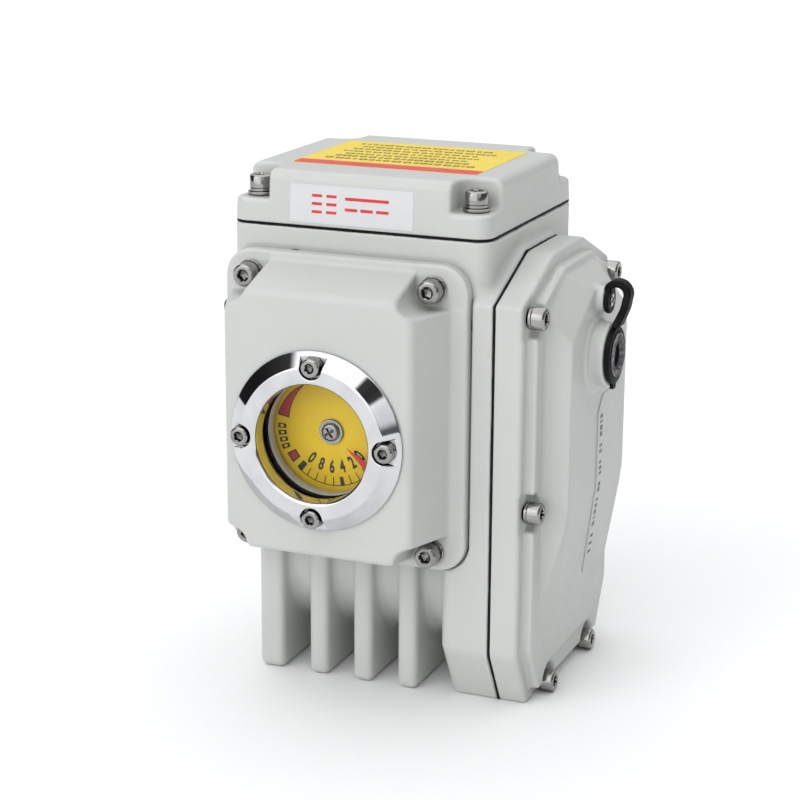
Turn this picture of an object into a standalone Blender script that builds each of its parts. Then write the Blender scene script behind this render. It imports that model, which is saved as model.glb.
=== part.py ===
"""Quarter-turn electric valve actuator.

Design frame, in millimetres: the output shaft lies on the Y axis, with the position dial at -Y and the
valve at +Y. X points to the gear cover, Z to the terminal lid. y = 0 is the housing's front wall.
The finished assembly is moved so that it stands on z = 0, centred on the origin.
"""
import math

import bmesh
import bpy
from mathutils import Matrix, Vector

MM = 0.001
GAP = 0.3                      # clearance between pieces that touch

# Housing block
WALL_LEFT, WALL_RIGHT = -57.0, 67.0
WALL_FRONT, WALL_BACK = 0.0, 117.0
BLOCK_BOTTOM, BLOCK_TOP = -60.0, 87.4
CORNER_RADIUS = 8.0
BASE_Z = -128.0                # underside of the feet

# Terminal lid
LID_BOTTOM, LID_TOP = 88.6, 112.5
LID_SCREW_SEAT = 99.0
LID_SCREW_X = (-47.0, 57.0)
LID_SCREW_Y = (11.0, 106.0)

# Dial cover on the front wall
COVER_LEFT, COVER_RIGHT = -56.5, 60.0
COVER_LOW, COVER_HIGH = -62.3, 77.5
COVER_BACK, COVER_SEAT, COVER_FACE = -1.0, -7.0, -33.0
COVER_SCREW_X = (-43.4, 44.8)
COVER_SCREW_Z = (67.0, -53.5)

# Window ring, glass and dial
RING_FACE = -39.6
RING_BORE, RING_BAND, RING_BASE = 26.8, 34.2, 41.0
RING_SCREW_RADIUS = 34.5
RING_SCREW_SEAT = -35.3
LIP_BORE = 27.0
GLASS_RADIUS = 30.2
DIAL_FRONT, DIAL_BACK, DIAL_RADIUS = -16.2, -14.7, 31.0

# Gear case and gear cover on the right side
CASE_LEFT = 47.0
CASE_SEAM = 70.4
SEAM_GAP = 1.2
CASE_FRONT, CASE_BACK = -3.4, 121.9
CASE_TOP = 77.9
GEAR_COVER_LIP = 84.4
GEAR_COVER_LEDGE = 89.0
GEAR_COVER_FACE = 100.4
GEAR_SCREWS = ((5.6, 55.2), (5.6, -33.5), (112.9, 55.2), (112.9, -33.5), (30.8, -122.6), (87.7, -122.6))

# Motor, its tube and the cooling fins
MOTOR_Y, MOTOR_Z = 50.5, -73.0
TUBE_RADIUS, MOTOR_BORE = 38.0, 31.0
FINS = ((-48.0, -35.4), (-22.3, -12.6), (0.1, 9.8), (22.5, 32.2))
FIN_FRONT, FIN_BACK = 6.0, 100.0

# Worm drive
WORM_Y, WORM_Z = 52.0, 30.5
WORM_MODULE = 1.5
WHEEL_TEETH = 30
WORM_PITCH_RADIUS = 8.0
WORM_LEAD = math.pi * WORM_MODULE

# Spur train from the motor to the worm shaft
SPUR_MODULE = 2.0
PINION_TEETH, IDLER_TEETH, DRIVE_TEETH = 12, 36, 24
SPUR_LEFT, SPUR_RIGHT = 58.5, 68.5

# Output shaft and valve pad
SQUARE_DRIVE = 17.0
SHAFT_RADIUS = 16.0
PAD_FACE = 122.0
PAD_RADIUS = 45.0
PAD_BOLT_CIRCLE = 35.0

# Override port on the gear cover: the boss's end, its rubber plug and the plug's strap
PORT_END = GEAR_COVER_FACE + 7.3
PLUG_RADIUS = 13.2
STRAP_SPOT = (55.5, 54.9)

# Cable glands and earth screw in the left wall, and the limit switches' front faces
GLAND_Y, GLAND_Z = (63.0, 94.0), 68.0
EARTH_SPOT = (8.0, 46.5)
SWITCH_ROWS = (("open", 6.0), ("closed", 17.0))


def idler_centre():
    """Where the idler meshes with both the motor's pinion and the worm's gear, in (y, z)."""
    motor, worm = Vector((MOTOR_Y, MOTOR_Z)), Vector((WORM_Y, WORM_Z))
    first = SPUR_MODULE * (PINION_TEETH + IDLER_TEETH) / 2
    second = SPUR_MODULE * (IDLER_TEETH + DRIVE_TEETH) / 2
    span = worm - motor
    along_span = (first ** 2 - second ** 2 + span.length ** 2) / (2 * span.length)
    aside = math.sqrt(first ** 2 - along_span ** 2)
    unit = span.normalized()
    return motor + unit * along_span + Vector((unit.y, -unit.x)) * aside


IDLER = tuple(idler_centre())


# ---------------------------------------------------------------- outlines

def arc(centre, radius, start, stop, count):
    """Points on an arc, angles in degrees, both ends included."""
    angles = [math.radians(start + (stop - start) * i / count) for i in range(count + 1)]
    return [(centre[0] + radius * math.cos(a), centre[1] + radius * math.sin(a)) for a in angles]


def circle(centre, radius, count=24):
    return arc(centre, radius, 0, 360, count)[:-1]


def hexagon(centre, half_flats, count=12):
    """A hexagon drawn with count points, so that it can be joined to a circle of count points."""
    points = []
    for i in range(count):
        turn = 360.0 * i / count
        reach = half_flats / math.cos(math.radians(turn % 60 - 30))
        points.append((centre[0] + reach * math.cos(math.radians(turn)),
                       centre[1] + reach * math.sin(math.radians(turn))))
    return points


def rounded_rect(left, right, low, high, radius, count=3):
    corners = ((right, high, 0), (left, high, 90), (left, low, 180), (right, low, 270))
    points = []
    for x, y, start in corners:
        centre = (x - math.copysign(radius, x - (left + right) / 2),
                  y - math.copysign(radius, y - (low + high) / 2))
        points += arc(centre, radius, start, start + 90, count)
    return points


def octagon(front, back, low, high, top_cut, bottom_cut):
    """Gear-case outline in (y, z): a rectangle with its top and bottom corners cut off."""
    return [(front, low + bottom_cut[1]), (front + bottom_cut[0], low),
            (back - bottom_cut[0], low), (back, low + bottom_cut[1]),
            (back, high - top_cut[1]), (back - top_cut[0], high),
            (front + top_cut[0], high), (front, high - top_cut[1])]


def cut_inset(size, inset):
    """Size of a corner cut after its outline is moved inwards."""
    a, b = size
    slant = math.hypot(a, b)
    return a - inset * (1 + (a - slant) / b), b - inset * (1 + (b - slant) / a)


def case_outline(inset=0.0):
    """Outline of the gear case's seam, moved inwards by inset."""
    return octagon(CASE_FRONT + inset, CASE_BACK - inset, BASE_Z + inset, CASE_TOP - inset,
                   cut_inset((41.5, 16.9), inset), cut_inset((15.5, 27.0), inset))


def gear_outline(centre, teeth, module, phase, tip, root, backlash):
    """Straight-flanked spur teeth: phase is the angle of one tooth's middle, in degrees."""
    pitch_radius = module * teeth / 2
    half_tooth = math.pi * module / 4 - backlash / 2
    corners = []
    for radius in (pitch_radius - root * module, pitch_radius + tip * module):
        half = half_tooth - (radius - pitch_radius) * math.tan(math.radians(20))
        corners.append((radius, half / radius))
    (root_radius, root_half), (tip_radius, tip_half) = corners
    points = []
    for i in range(teeth):
        middle = math.radians(phase) + 2 * math.pi * i / teeth
        for radius, offset in ((root_radius, -root_half), (tip_radius, -tip_half),
                               (tip_radius, tip_half), (root_radius, root_half)):
            points.append((centre[0] + radius * math.cos(middle + offset),
                           centre[1] + radius * math.sin(middle + offset)))
    return points


# ---------------------------------------------------------------- solids

def along(axis, outline, offset):
    """Places a flat outline across an axis: (y, z) across X, (x, z) across Y, (x, y) across Z."""
    if axis == "X":
        return [(offset, a, b) for a, b in outline]
    if axis == "Y":
        return [(a, offset, b) for a, b in outline]
    return [(a, b, offset) for a, b in outline]


def make_solid(name, rings, ring_shaped=False):
    """Joins rings of equally many points. A ring-shaped solid joins its last ring to its first."""
    mesh = bmesh.new()
    loops = [[mesh.verts.new(Vector(p) * MM) for p in ring] for ring in rings]
    count = len(loops[0])
    pairs = list(zip(loops, loops[1:]))
    if ring_shaped:
        pairs.append((loops[-1], loops[0]))
    else:
        mesh.faces.new(loops[0])
        mesh.faces.new(loops[-1])
    for lower, upper in pairs:
        for i in range(count):
            j = (i + 1) % count
            mesh.faces.new((lower[i], lower[j], upper[j], upper[i]))
    bmesh.ops.recalc_face_normals(mesh, faces=mesh.faces)
    data = bpy.data.meshes.new(name)
    mesh.to_mesh(data)
    mesh.free()
    solid = bpy.data.objects.new(name, data)
    bpy.context.collection.objects.link(solid)
    return solid


def prism(name, axis, outline, start, stop):
    return make_solid(name, [along(axis, outline, start), along(axis, outline, stop)])


def box(name, x, y, z):
    return prism(name, "Z", [(x[0], y[0]), (x[1], y[0]), (x[1], y[1]), (x[0], y[1])], z[0], z[1])


def band(name, axis, outer, inner, start, stop):
    """A flat ring between two outlines, such as a gasket."""
    return make_solid(name, [along(axis, outer, start), along(axis, outer, stop),
                             along(axis, inner, stop), along(axis, inner, start)], ring_shaped=True)


def turned(name, axis, centre, profile, count=24, hollow=False):
    """A turned piece. profile lists (radius, offset along the axis); a third value "hex" makes that
    station a hexagon whose half width across its flats is the radius."""
    rings = []
    for station in profile:
        section = hexagon if len(station) == 3 else circle
        rings.append(along(axis, section(centre, station[0], count), station[1]))
    return make_solid(name, rings, ring_shaped=hollow)


def combine(target, tool, operation):
    """Applies a Boolean with tool to target and deletes tool."""
    modifier = target.modifiers.new(operation.title(), "BOOLEAN")
    modifier.operation = operation
    modifier.solver = "EXACT"
    modifier.object = tool
    graph = bpy.context.evaluated_depsgraph_get()
    result = bpy.data.meshes.new_from_object(target.evaluated_get(graph))
    target.modifiers.clear()
    target.data = result
    bpy.data.objects.remove(tool)
    mesh = bmesh.new()
    mesh.from_mesh(result)
    bmesh.ops.remove_doubles(mesh, verts=mesh.verts, dist=1e-6)
    bmesh.ops.dissolve_limit(mesh, angle_limit=math.radians(0.05), verts=mesh.verts, edges=mesh.edges)
    mesh.to_mesh(result)
    mesh.free()


def cut(target, *tools):
    for tool in tools:
        combine(target, tool, "DIFFERENCE")


def join(target, *tools):
    for tool in tools:
        combine(target, tool, "UNION")


def hole(axis, centre, radius, start, stop, count=12):
    return prism("hole", axis, circle(centre, radius, count), start, stop)


def corner_pocket(axis, centre, radius, outward, reach, start, stop):
    """A screw pocket: a quarter-round inner corner that runs out past the part's corner."""
    x, z = centre
    side_x, side_z = outward
    first = 180 if side_x > 0 else 0
    points = arc(centre, radius, first, first + 90 * side_x * side_z, 4)
    points += [(x + side_x * reach, z - side_z * radius), (x + side_x * reach, z + side_z * reach),
               (x - side_x * radius, z + side_z * reach)]
    return prism("pocket", axis, points, start, stop)


def cap_screw(name, axis, centre, seat, outward, length, flat_washer=True):
    """M6 socket head cap screw on a spring washer, and a flat washer if it has one."""
    head_radius, head_height, washer_height = 5.1, 6.0, 1.5
    socket_half, socket_depth = 2.5, 3.3
    base_radius = 6.0 if flat_washer else head_radius
    base = seat + outward * GAP
    washers = base + outward * washer_height * (2 if flat_washer else 1)
    top = washers + outward * head_height
    profile = [(socket_half, top - outward * socket_depth, "hex"), (socket_half, top, "hex"),
               (head_radius, top), (head_radius, washers), (base_radius, washers),
               (base_radius, base), (3.0, base), (3.0, seat - outward * length)]
    return turned(name, axis, centre, profile, count=12)


# ---------------------------------------------------------------- materials and placing

PAINT = ("painted casting", (0.62, 0.64, 0.61), 0.5, 0.0)
STEEL = ("steel", (0.62, 0.62, 0.6), 0.3, 1.0)
CHROME = ("chrome", (0.85, 0.85, 0.87), 0.08, 1.0)
RUBBER = ("rubber", (0.02, 0.02, 0.02), 0.7, 0.0)
GLASS = ("glass", (0.9, 0.95, 0.95), 0.03, 0.0)
YELLOW = ("yellow dial", (0.75, 0.56, 0.04), 0.5, 0.0)
RED = ("red pointer", (0.6, 0.05, 0.06), 0.5, 0.0)
BRONZE = ("bronze", (0.6, 0.42, 0.18), 0.4, 1.0)
PLASTIC = ("black plastic", (0.05, 0.05, 0.05), 0.5, 0.0)
GREEN = ("circuit board", (0.05, 0.25, 0.1), 0.5, 0.0)


def material(look):
    name, colour, roughness, metallic = look
    if name not in bpy.data.materials:
        made = bpy.data.materials.new(name)
        made.use_nodes = True
        shader = made.node_tree.nodes["Principled BSDF"]
        shader.inputs["Base Color"].default_value = (*colour, 1.0)
        shader.inputs["Roughness"].default_value = roughness
        shader.inputs["Metallic"].default_value = metallic
    return bpy.data.materials[name]


def pivot(name, parent, x, y, z):
    """An empty on a joint's axis."""
    empty = bpy.data.objects.new(name, None)
    empty.empty_display_size = 0.01
    empty.location = Vector((x, y, z)) * MM
    empty.parent = parent
    bpy.context.collection.objects.link(empty)
    return empty


def finish(piece, look, parent):
    """Gives a piece its material and shading and hangs it on its body, keeping its place."""
    piece.data.materials.clear()
    piece.data.materials.append(material(look))
    piece.data.shade_smooth()
    piece.data.set_sharp_from_angle(angle=math.radians(35))
    if parent.parent:
        piece.data.transform(Matrix.Translation(-parent.location))
    piece.parent = parent
    return piece


# ---------------------------------------------------------------- housing and covers

def block_layer(inset):
    return rounded_rect(WALL_LEFT + inset, WALL_RIGHT - inset, WALL_FRONT + inset, WALL_BACK - inset,
                        CORNER_RADIUS - inset)


def make_housing(root):
    housing = make_solid("housing", [along("Z", block_layer(inset), z) for inset, z in
                                     ((4.0, BLOCK_BOTTOM), (1.2, BLOCK_BOTTOM + 1.2),
                                      (0.0, BLOCK_BOTTOM + 4.0), (0.0, BLOCK_TOP))])
    join(housing, prism("tube", "X", circle((MOTOR_Y, MOTOR_Z), TUBE_RADIUS, 32), -44.0, CASE_LEFT + 2))
    join(housing, prism("case", "X", case_outline(), CASE_LEFT, CASE_SEAM))
    join(housing, turned("tube flare", "X", (MOTOR_Y, MOTOR_Z), [
        (TUBE_RADIUS - 2, 34.0), (TUBE_RADIUS, 37.0), (TUBE_RADIUS + 2, 43.0),
        (TUBE_RADIUS + 5, CASE_LEFT + 1)], 32))
    for left, right in FINS:
        outline = [(FIN_FRONT, -50.0), (FIN_FRONT, BASE_Z + 4), (FIN_FRONT + 4, BASE_Z),
                   (FIN_BACK - 4, BASE_Z), (FIN_BACK, BASE_Z + 4), (FIN_BACK, -50.0)]
        join(housing, prism("fin", "X", outline, left, right))
    join(housing, prism("pad", "Y", circle((0, 0), PAD_RADIUS, 32), WALL_BACK - 2, PAD_FACE))

    # The dial cover's seat, recessed in the raised front of the gear case
    seat = rounded_rect(COVER_LEFT - 1, COVER_RIGHT + 1, COVER_LOW - 1, COVER_HIGH + 1, 14.0)
    cut(housing, prism("seat", "Y", seat, -5.0, 0.0))
    # Terminal compartment, with posts left for the lid screws
    left, right, front, back, post = -51.0, 49.0, 8.0, 111.0, -38.0
    cut(housing, prism("terminals", "Z", [(post, front), (right, front), (right, back), (post, back),
                                          (post, back - 14), (left, back - 14), (left, front + 12),
                                          (post, front + 12)], 50.0, BLOCK_TOP + 5))
    # Dial and worm-wheel compartment, open at the front
    cut(housing, box("works", (-40.0, 42.0), (-8.0, 67.0), (-28.0, 44.0)))
    # Gear compartment, open at the right
    cut(housing, prism("gears", "X", case_outline(14.0), 55.0, CASE_SEAM + 5))
    cut(housing, hole("X", (MOTOR_Y, MOTOR_Z), MOTOR_BORE, -38.0, 60.0, 32))
    # Worm shaft's seats: a blind one on the left, a through one on the right
    cut(housing, hole("X", (WORM_Y, WORM_Z), 10.0, -50.3, -38.0, 20))
    cut(housing, hole("X", (WORM_Y, WORM_Z), 10.0, 40.0, 60.0, 20))
    cut(housing, hole("X", IDLER, 3.3, 49.0, 60.0))
    # Output bore and the valve pad's bolt holes
    cut(housing, hole("Y", (0, 0), 20.3, 60.0, PAD_FACE + 5, 24))
    for turn in (45, 135, 225, 315):
        spot = arc((0, 0), PAD_BOLT_CIRCLE, turn, turn + 1, 1)[0]
        cut(housing, hole("Y", spot, 4.0, PAD_FACE - 14, PAD_FACE + 5, 12))
    # Screw holes
    for x in LID_SCREW_X:
        for y in LID_SCREW_Y:
            cut(housing, hole("Z", (x, y), 3.3, BLOCK_TOP - 14, BLOCK_TOP + 5))
    for x in COVER_SCREW_X:
        for z in COVER_SCREW_Z:
            cut(housing, hole("Y", (x, z), 3.3, -5.0, 7.0))
    for spot in GEAR_SCREWS:
        cut(housing, hole("X", spot, 3.3, CASE_SEAM - 12, CASE_SEAM + 5))
    # Cable entries and the earth screw in the left wall
    for y in GLAND_Y:
        cut(housing, hole("X", (y, GLAND_Z), 10.3, WALL_LEFT - 5, -45.0, 20))
    cut(housing, hole("X", EARTH_SPOT, 2.8, WALL_LEFT - 5, -50.0))
    return finish(housing, PAINT, root)


def make_lid(root):
    layers = ((0.0, LID_BOTTOM), (0.0, LID_BOTTOM + 8), (0.8, LID_TOP - 6.0), (1.6, LID_TOP - 3.0),
              (3.2, LID_TOP - 1.0), (5.5, LID_TOP))
    lid = make_solid("terminal_lid", [along("Z", block_layer(inset), z) for inset, z in layers])
    for x in LID_SCREW_X:
        for y in LID_SCREW_Y:
            outward = (1 if x > 0 else -1, 1 if y > 50 else -1)
            cut(lid, corner_pocket("Z", (x, y), 8.5, outward, 20.0, LID_SCREW_SEAT, LID_TOP + 5))
    left, right, front, back = -51.0, 61.0, 6.0, 111.0
    post_left, post_right, post_depth = -36.0, 46.0, 16.0
    cut(lid, prism("inside", "Z", [(post_left, front), (post_right, front),
                                   (post_right, front + post_depth), (right, front + post_depth),
                                   (right, back - post_depth), (post_right, back - post_depth),
                                   (post_right, back), (post_left, back),
                                   (post_left, back - post_depth), (left, back - post_depth),
                                   (left, front + post_depth), (post_left, front + post_depth)],
                   LID_BOTTOM - 5, LID_TOP - 5))
    for x in LID_SCREW_X:
        for y in LID_SCREW_Y:
            cut(lid, hole("Z", (x, y), 3.3, LID_BOTTOM - 5, LID_SCREW_SEAT + 5))
    finish(lid, PAINT, root)
    middle = (BLOCK_TOP + LID_BOTTOM) / 2
    finish(band("lid_gasket", "Z", block_layer(0.7), block_layer(5.0), middle - 0.3, middle + 0.3),
           RUBBER, root)
    number = 0
    for x in LID_SCREW_X:
        for y in LID_SCREW_Y:
            number += 1
            screw = cap_screw(f"lid_screw_{number}", "Z", (x, y), LID_SCREW_SEAT, 1, 24.0)
            finish(screw, STEEL, root)


def flange_layer(inset, offset):
    return along("Y", rounded_rect(COVER_LEFT + inset, COVER_RIGHT - inset, COVER_LOW + inset,
                                   COVER_HIGH - inset, 13.0 - inset), offset)


def cover_layer(half_width, low, high, radius, offset):
    return along("Y", rounded_rect(-half_width, half_width, low, high, radius), offset)


def make_dial_cover(root):
    cover = make_solid("dial_cover", [flange_layer(0.0, COVER_BACK), flange_layer(0.0, COVER_SEAT + 1.4),
                                      flange_layer(1.4, COVER_SEAT)])
    join(cover, make_solid("raised", [
        cover_layer(53.5, COVER_LOW + 4, COVER_HIGH - 3.5, 13.0, COVER_SEAT + 1.0),
        cover_layer(53.3, COVER_LOW + 4, COVER_HIGH - 3.5, 13.0, COVER_SEAT - 1.0),
        cover_layer(45.5, COVER_LOW + 8, 66.0, 13.0, -30.0),
        cover_layer(44.4, COVER_LOW + 8.8, 64.6, 12.5, -32.0),
        cover_layer(42.2, COVER_LOW + 10.6, 62.0, 11.5, COVER_FACE)]))
    spots = [(x, z) for x in COVER_SCREW_X for z in COVER_SCREW_Z]
    for x, z in spots:
        outward = (1 if x > 0 else -1, 1 if z > 0 else -1)
        cut(cover, corner_pocket("Y", (x, z), 8.5, outward, 22.0, COVER_FACE - 5, COVER_SEAT))
    # Inside, leaving a thick ring around the window; the screw corners stay solid
    inside_half, inside_low, inside_high, boss = 34.0, -42.0, 57.0, -19.0
    cut(cover, make_solid("inside", [cover_layer(inside_half, inside_low, inside_high, 6.0, 2.0),
                                     cover_layer(inside_half, inside_low, inside_high, 6.0, boss)]))
    cut(cover, hole("Y", (0, 0), LIP_BORE, COVER_FACE - 5, 2.0, 48))
    cut(cover, hole("Y", (0, 0), GLASS_RADIUS + GAP, COVER_FACE - 5, -24.0, 48))
    for spot in circle((0, 0), RING_SCREW_RADIUS, 4):
        cut(cover, hole("Y", spot, 2.8, COVER_FACE - 5, COVER_FACE + 9))
    for spot in spots:
        cut(cover, hole("Y", spot, 3.3, -12.0, 2.0))
    finish(cover, PAINT, root)
    finish(band("dial_cover_gasket", "Y",
                rounded_rect(COVER_LEFT + 1, COVER_RIGHT - 1, COVER_LOW + 1, COVER_HIGH - 1, 12),
                rounded_rect(COVER_LEFT + 5, COVER_RIGHT - 5, COVER_LOW + 5, COVER_HIGH - 5, 8),
                -0.7, -0.3), RUBBER, root)
    for i, spot in enumerate(spots):
        finish(cap_screw(f"cover_screw_{i + 1}", "Y", spot, COVER_SEAT, -1, 13.5), STEEL, root)


def make_window(root):
    ring = turned("window_ring", "Y", (0, 0), [
        (RING_BORE, -30.4), (GLASS_RADIUS - 0.2, -30.4), (GLASS_RADIUS - 0.2, COVER_FACE - GAP),
        (RING_BASE, COVER_FACE - GAP), (RING_BASE, COVER_FACE - 1.0), (RING_BAND, RING_FACE),
        (RING_BORE + 0.6, RING_FACE), (RING_BORE, RING_FACE + 0.6)], count=48, hollow=True)
    for i, spot in enumerate(circle((0, 0), RING_SCREW_RADIUS, 4)):
        direction = math.radians(90 * i)
        out = Vector((math.cos(direction), math.sin(direction)))
        side = Vector((-out.y, out.x)) * 5.4
        centre = Vector(spot)
        angle = 90 * i
        pocket = arc(spot, 5.4, angle + 90, angle + 270, 6)
        far = centre + out * 12
        pocket += [tuple(far - side), tuple(far + side)]
        cut(ring, prism("spotface", "Y", pocket, RING_FACE - 5, RING_SCREW_SEAT))
        cut(ring, hole("Y", spot, 2.8, RING_FACE - 5, COVER_FACE + 5))
        screw = turned(f"ring_screw_{i + 1}", "Y", spot, [
            (2.0, RING_SCREW_SEAT - 2.6, "hex"), (2.0, RING_SCREW_SEAT - 5.3, "hex"),
            (4.25, RING_SCREW_SEAT - 5.3), (4.25, RING_SCREW_SEAT - GAP),
            (2.5, RING_SCREW_SEAT - GAP), (2.5, COVER_FACE + 8.5)], count=12)
        finish(screw, STEEL, root)
    finish(ring, CHROME, root)
    finish(turned("window_glass", "Y", (0, 0), [(GLASS_RADIUS - 0.2, -30.0), (GLASS_RADIUS - 0.2, -26.4)],
                  count=48), GLASS, root)
    finish(turned("window_seal", "Y", (0, 0), [
        (LIP_BORE + 0.2, -24.3), (GLASS_RADIUS - 0.2, -24.3), (GLASS_RADIUS - 0.2, -26.1),
        (LIP_BORE + 0.2, -26.1)], count=36, hollow=True), RUBBER, root)


def make_gear_cover(root):
    back, lip, ledge, face = CASE_SEAM + SEAM_GAP, GEAR_COVER_LIP, GEAR_COVER_LEDGE, GEAR_COVER_FACE
    cover = make_solid("gear_cover", [
        along("X", case_outline(0.0), back), along("X", case_outline(0.2), lip - 1.6),
        along("X", case_outline(1.6), lip)])
    join(cover, make_solid("ledge", [
        along("X", case_outline(6.0), lip - 4), along("X", case_outline(6.3), lip),
        along("X", case_outline(7.2), ledge - 1.2), along("X", case_outline(8.6), ledge)]))
    join(cover, make_solid("raised", [
        along("X", octagon(11.0, 107.5, -114.0, 73.0, (28.0, 16.0), (16.0, 38.0)), ledge - 0.8),
        along("X", octagon(14.2, 104.3, -110.5, 71.6, (25.5, 15.5), (15.5, 37.0)), ledge + 1.8),
        along("X", octagon(17.0, 101.5, -45.0, 64.4, (31.0, 18.0), (0.8, 1.8)), face - 1.4),
        along("X", octagon(18.4, 100.1, -43.0, 63.0, (31.0, 18.0), (0.6, 1.2)), face)]))
    # Pockets around the screws
    pocket_reach = 30.0
    for y, z in GEAR_SCREWS:
        side = 1 if y > WORM_Y else -1
        if z > -100:
            outline = arc((y, z), 8.5, 90, 90 + 180 * side, 8)
            outline += [(y + side * pocket_reach, z - 8.5), (y + side * pocket_reach, z + 8.5)]
        else:
            outline = arc((y, z), 8.5, 0, 180, 8)
            outline += [(y - 8.5, z - pocket_reach), (y + 8.5, z - pocket_reach)]
        cut(cover, prism("pocket", "X", outline, lip, face + 5))
    # Override port's boss and the cap strap's small boss
    port = (WORM_Y, WORM_Z)
    join(cover, turned("boss", "X", port, [
        (18.5, face - 1), (16.5, face + 1.2), (15.0, face + 2.0), (14.6, PORT_END)], 32))
    join(cover, turned("strap boss", "X", STRAP_SPOT, [(6.6, face - 4), (6.0, face + 3.2)], 16))
    # Inside
    cut(cover, prism("inside", "X", case_outline(14.0), back - 5, back + 10.0))
    cut(cover, prism("inside", "X", octagon(24.0, 95.0, -36.0, 56.0, (24.0, 13.0), (4.0, 4.0)), back, 95.0))
    cut(cover, hole("X", port, 8.6, 90.0, face + 10, 24))
    cut(cover, hole("X", STRAP_SPOT, 1.9, face - 3, face + 10))
    for spot in GEAR_SCREWS:
        cut(cover, hole("X", spot, 3.3, back - 5, lip + 5))
    finish(cover, PAINT, root)
    finish(band("gear_cover_gasket", "X", case_outline(0.8), case_outline(2.1), CASE_SEAM + GAP,
                CASE_SEAM + SEAM_GAP - GAP), RUBBER, root)
    for i, spot in enumerate(GEAR_SCREWS):
        screw = cap_screw(f"gear_screw_{i + 1}", "X", spot, lip, 1, 25.0, flat_washer=False)
        finish(screw, STEEL, root)


# ---------------------------------------------------------------- override port

def make_override_port(root, plug_pivot):
    port, rim = (WORM_Y, WORM_Z), PORT_END + GAP
    plug = turned("port_plug", "X", port, [
        (6.5, GEAR_COVER_FACE - 2.4), (8.0, GEAR_COVER_FACE - 1.0), (8.0, rim), (PLUG_RADIUS, rim),
        (PLUG_RADIUS, rim + 1.9), (PLUG_RADIUS - 0.8, rim + 2.5), (10.8, rim + 2.5), (10.2, rim + 3.3),
        (7.0, rim + 3.3), (6.4, rim + 1.8), (4.0, rim + 1.8), (3.4, rim + 2.8)], 24)
    finish(plug, RUBBER, plug_pivot)

    # Strap: an eyelet under the small screw, then a loop over to the plug's rim
    eyelet, half_width, half_thickness = GEAR_COVER_FACE + 3.5, 3.1, 1.2
    strap = turned("plug_strap", "X", STRAP_SPOT, [
        (6.3, eyelet), (6.3, eyelet + 2.2), (2.0, eyelet + 2.2), (2.0, eyelet)], 20, hollow=True)
    loop = arc((GEAR_COVER_FACE + 8.6, STRAP_SPOT[1] + 2.9), 4.9, 155, -25, 10)
    loop += [(GEAR_COVER_FACE + 11.4, STRAP_SPOT[1] - 4.9),
             (GEAR_COVER_FACE + 9.0, WORM_Z + PLUG_RADIUS + 1.4)]
    rings = []
    for i, (x, z) in enumerate(loop):
        before, after = loop[max(i - 1, 0)], loop[min(i + 1, len(loop) - 1)]
        normal = Vector((before[1] - after[1], after[0] - before[0])).normalized() * half_thickness
        y = STRAP_SPOT[0] + (WORM_Y - STRAP_SPOT[0]) * i / (len(loop) - 1)
        rings.append([(x + a * normal.x, y + b * half_width, z + a * normal.y)
                      for a, b in ((-1, -1), (1, -1), (1, 1), (-1, 1))])
    join(strap, make_solid("loop", rings))
    finish(strap, RUBBER, root)
    finish(turned("strap_screw", "X", STRAP_SPOT, [
        (1.2, eyelet + 3.2), (1.2, eyelet + 4.6), (3.4, eyelet + 4.6), (3.6, eyelet + 2.5),
        (1.6, eyelet + 2.5), (1.6, GEAR_COVER_FACE - 2.5)], 12), STEEL, root)


# ---------------------------------------------------------------- output shaft, dial and switches

def make_output(root, shaft_pivot):
    shaft = turned("output_shaft", "Y", (0, 0), [
        (6.0, DIAL_BACK + GAP), (6.0, 0.0), (8.0, 0.0), (8.0, 30.0), (11.0, 30.0), (11.0, 42.5),
        (13.0, 42.5), (13.0, 61.5), (SHAFT_RADIUS, 61.5), (SHAFT_RADIUS, PAD_FACE - 0.5)], 24)
    half = SQUARE_DRIVE / 2
    cut(shaft, box("square", (-half, half), (PAD_FACE - 31, PAD_FACE + 5), (-half, half)))
    cut(shaft, hole("Y", (0, 0), 2.8, -20.0, -2.0))
    finish(shaft, STEEL, shaft_pivot)
    dial = turned("position_dial", "Y", (0, 0), [
        (2.8, DIAL_FRONT), (DIAL_RADIUS, DIAL_FRONT), (DIAL_RADIUS, DIAL_BACK), (2.8, DIAL_BACK)], 48,
        hollow=True)
    finish(dial, YELLOW, shaft_pivot)
    finish(turned("dial_screw", "Y", (0, 0), [
        (1.4, DIAL_FRONT - 1.6), (1.6, DIAL_FRONT - 2.9), (3.6, DIAL_FRONT - 2.9),
        (4.7, DIAL_FRONT - 1.6), (4.7, DIAL_FRONT - GAP), (2.5, DIAL_FRONT - GAP), (2.5, -4.0)], 16),
        STEEL, shaft_pivot)
    for name, front, lobe in (("cam_open", 6.0, 60.0), ("cam_closed", 17.0, 150.0)):
        outline = arc((0, 0), 15.5, lobe, lobe + 270, 18) + arc((0, 0), 17.0, lobe + 280, lobe + 350, 6)
        bore = hole("Y", (0, 0), 8.3, front - 2, front + 10, 20)
        cam = prism(name, "Y", outline, front, front + 6.0)
        cut(cam, bore)
        finish(cam, PLASTIC, shaft_pivot)
    phase = 90 + 180 / WHEEL_TEETH
    wheel = prism("worm_wheel", "Y", gear_outline((0, 0), WHEEL_TEETH, WORM_MODULE, phase,
                                                  tip=0.85, root=1.2, backlash=0.5),
                  WORM_Y - 7.5, WORM_Y + 7.5)
    cut(wheel, hole("Y", (0, 0), 13.3, 40.0, 70.0, 24))
    finish(wheel, BRONZE, shaft_pivot)


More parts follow.
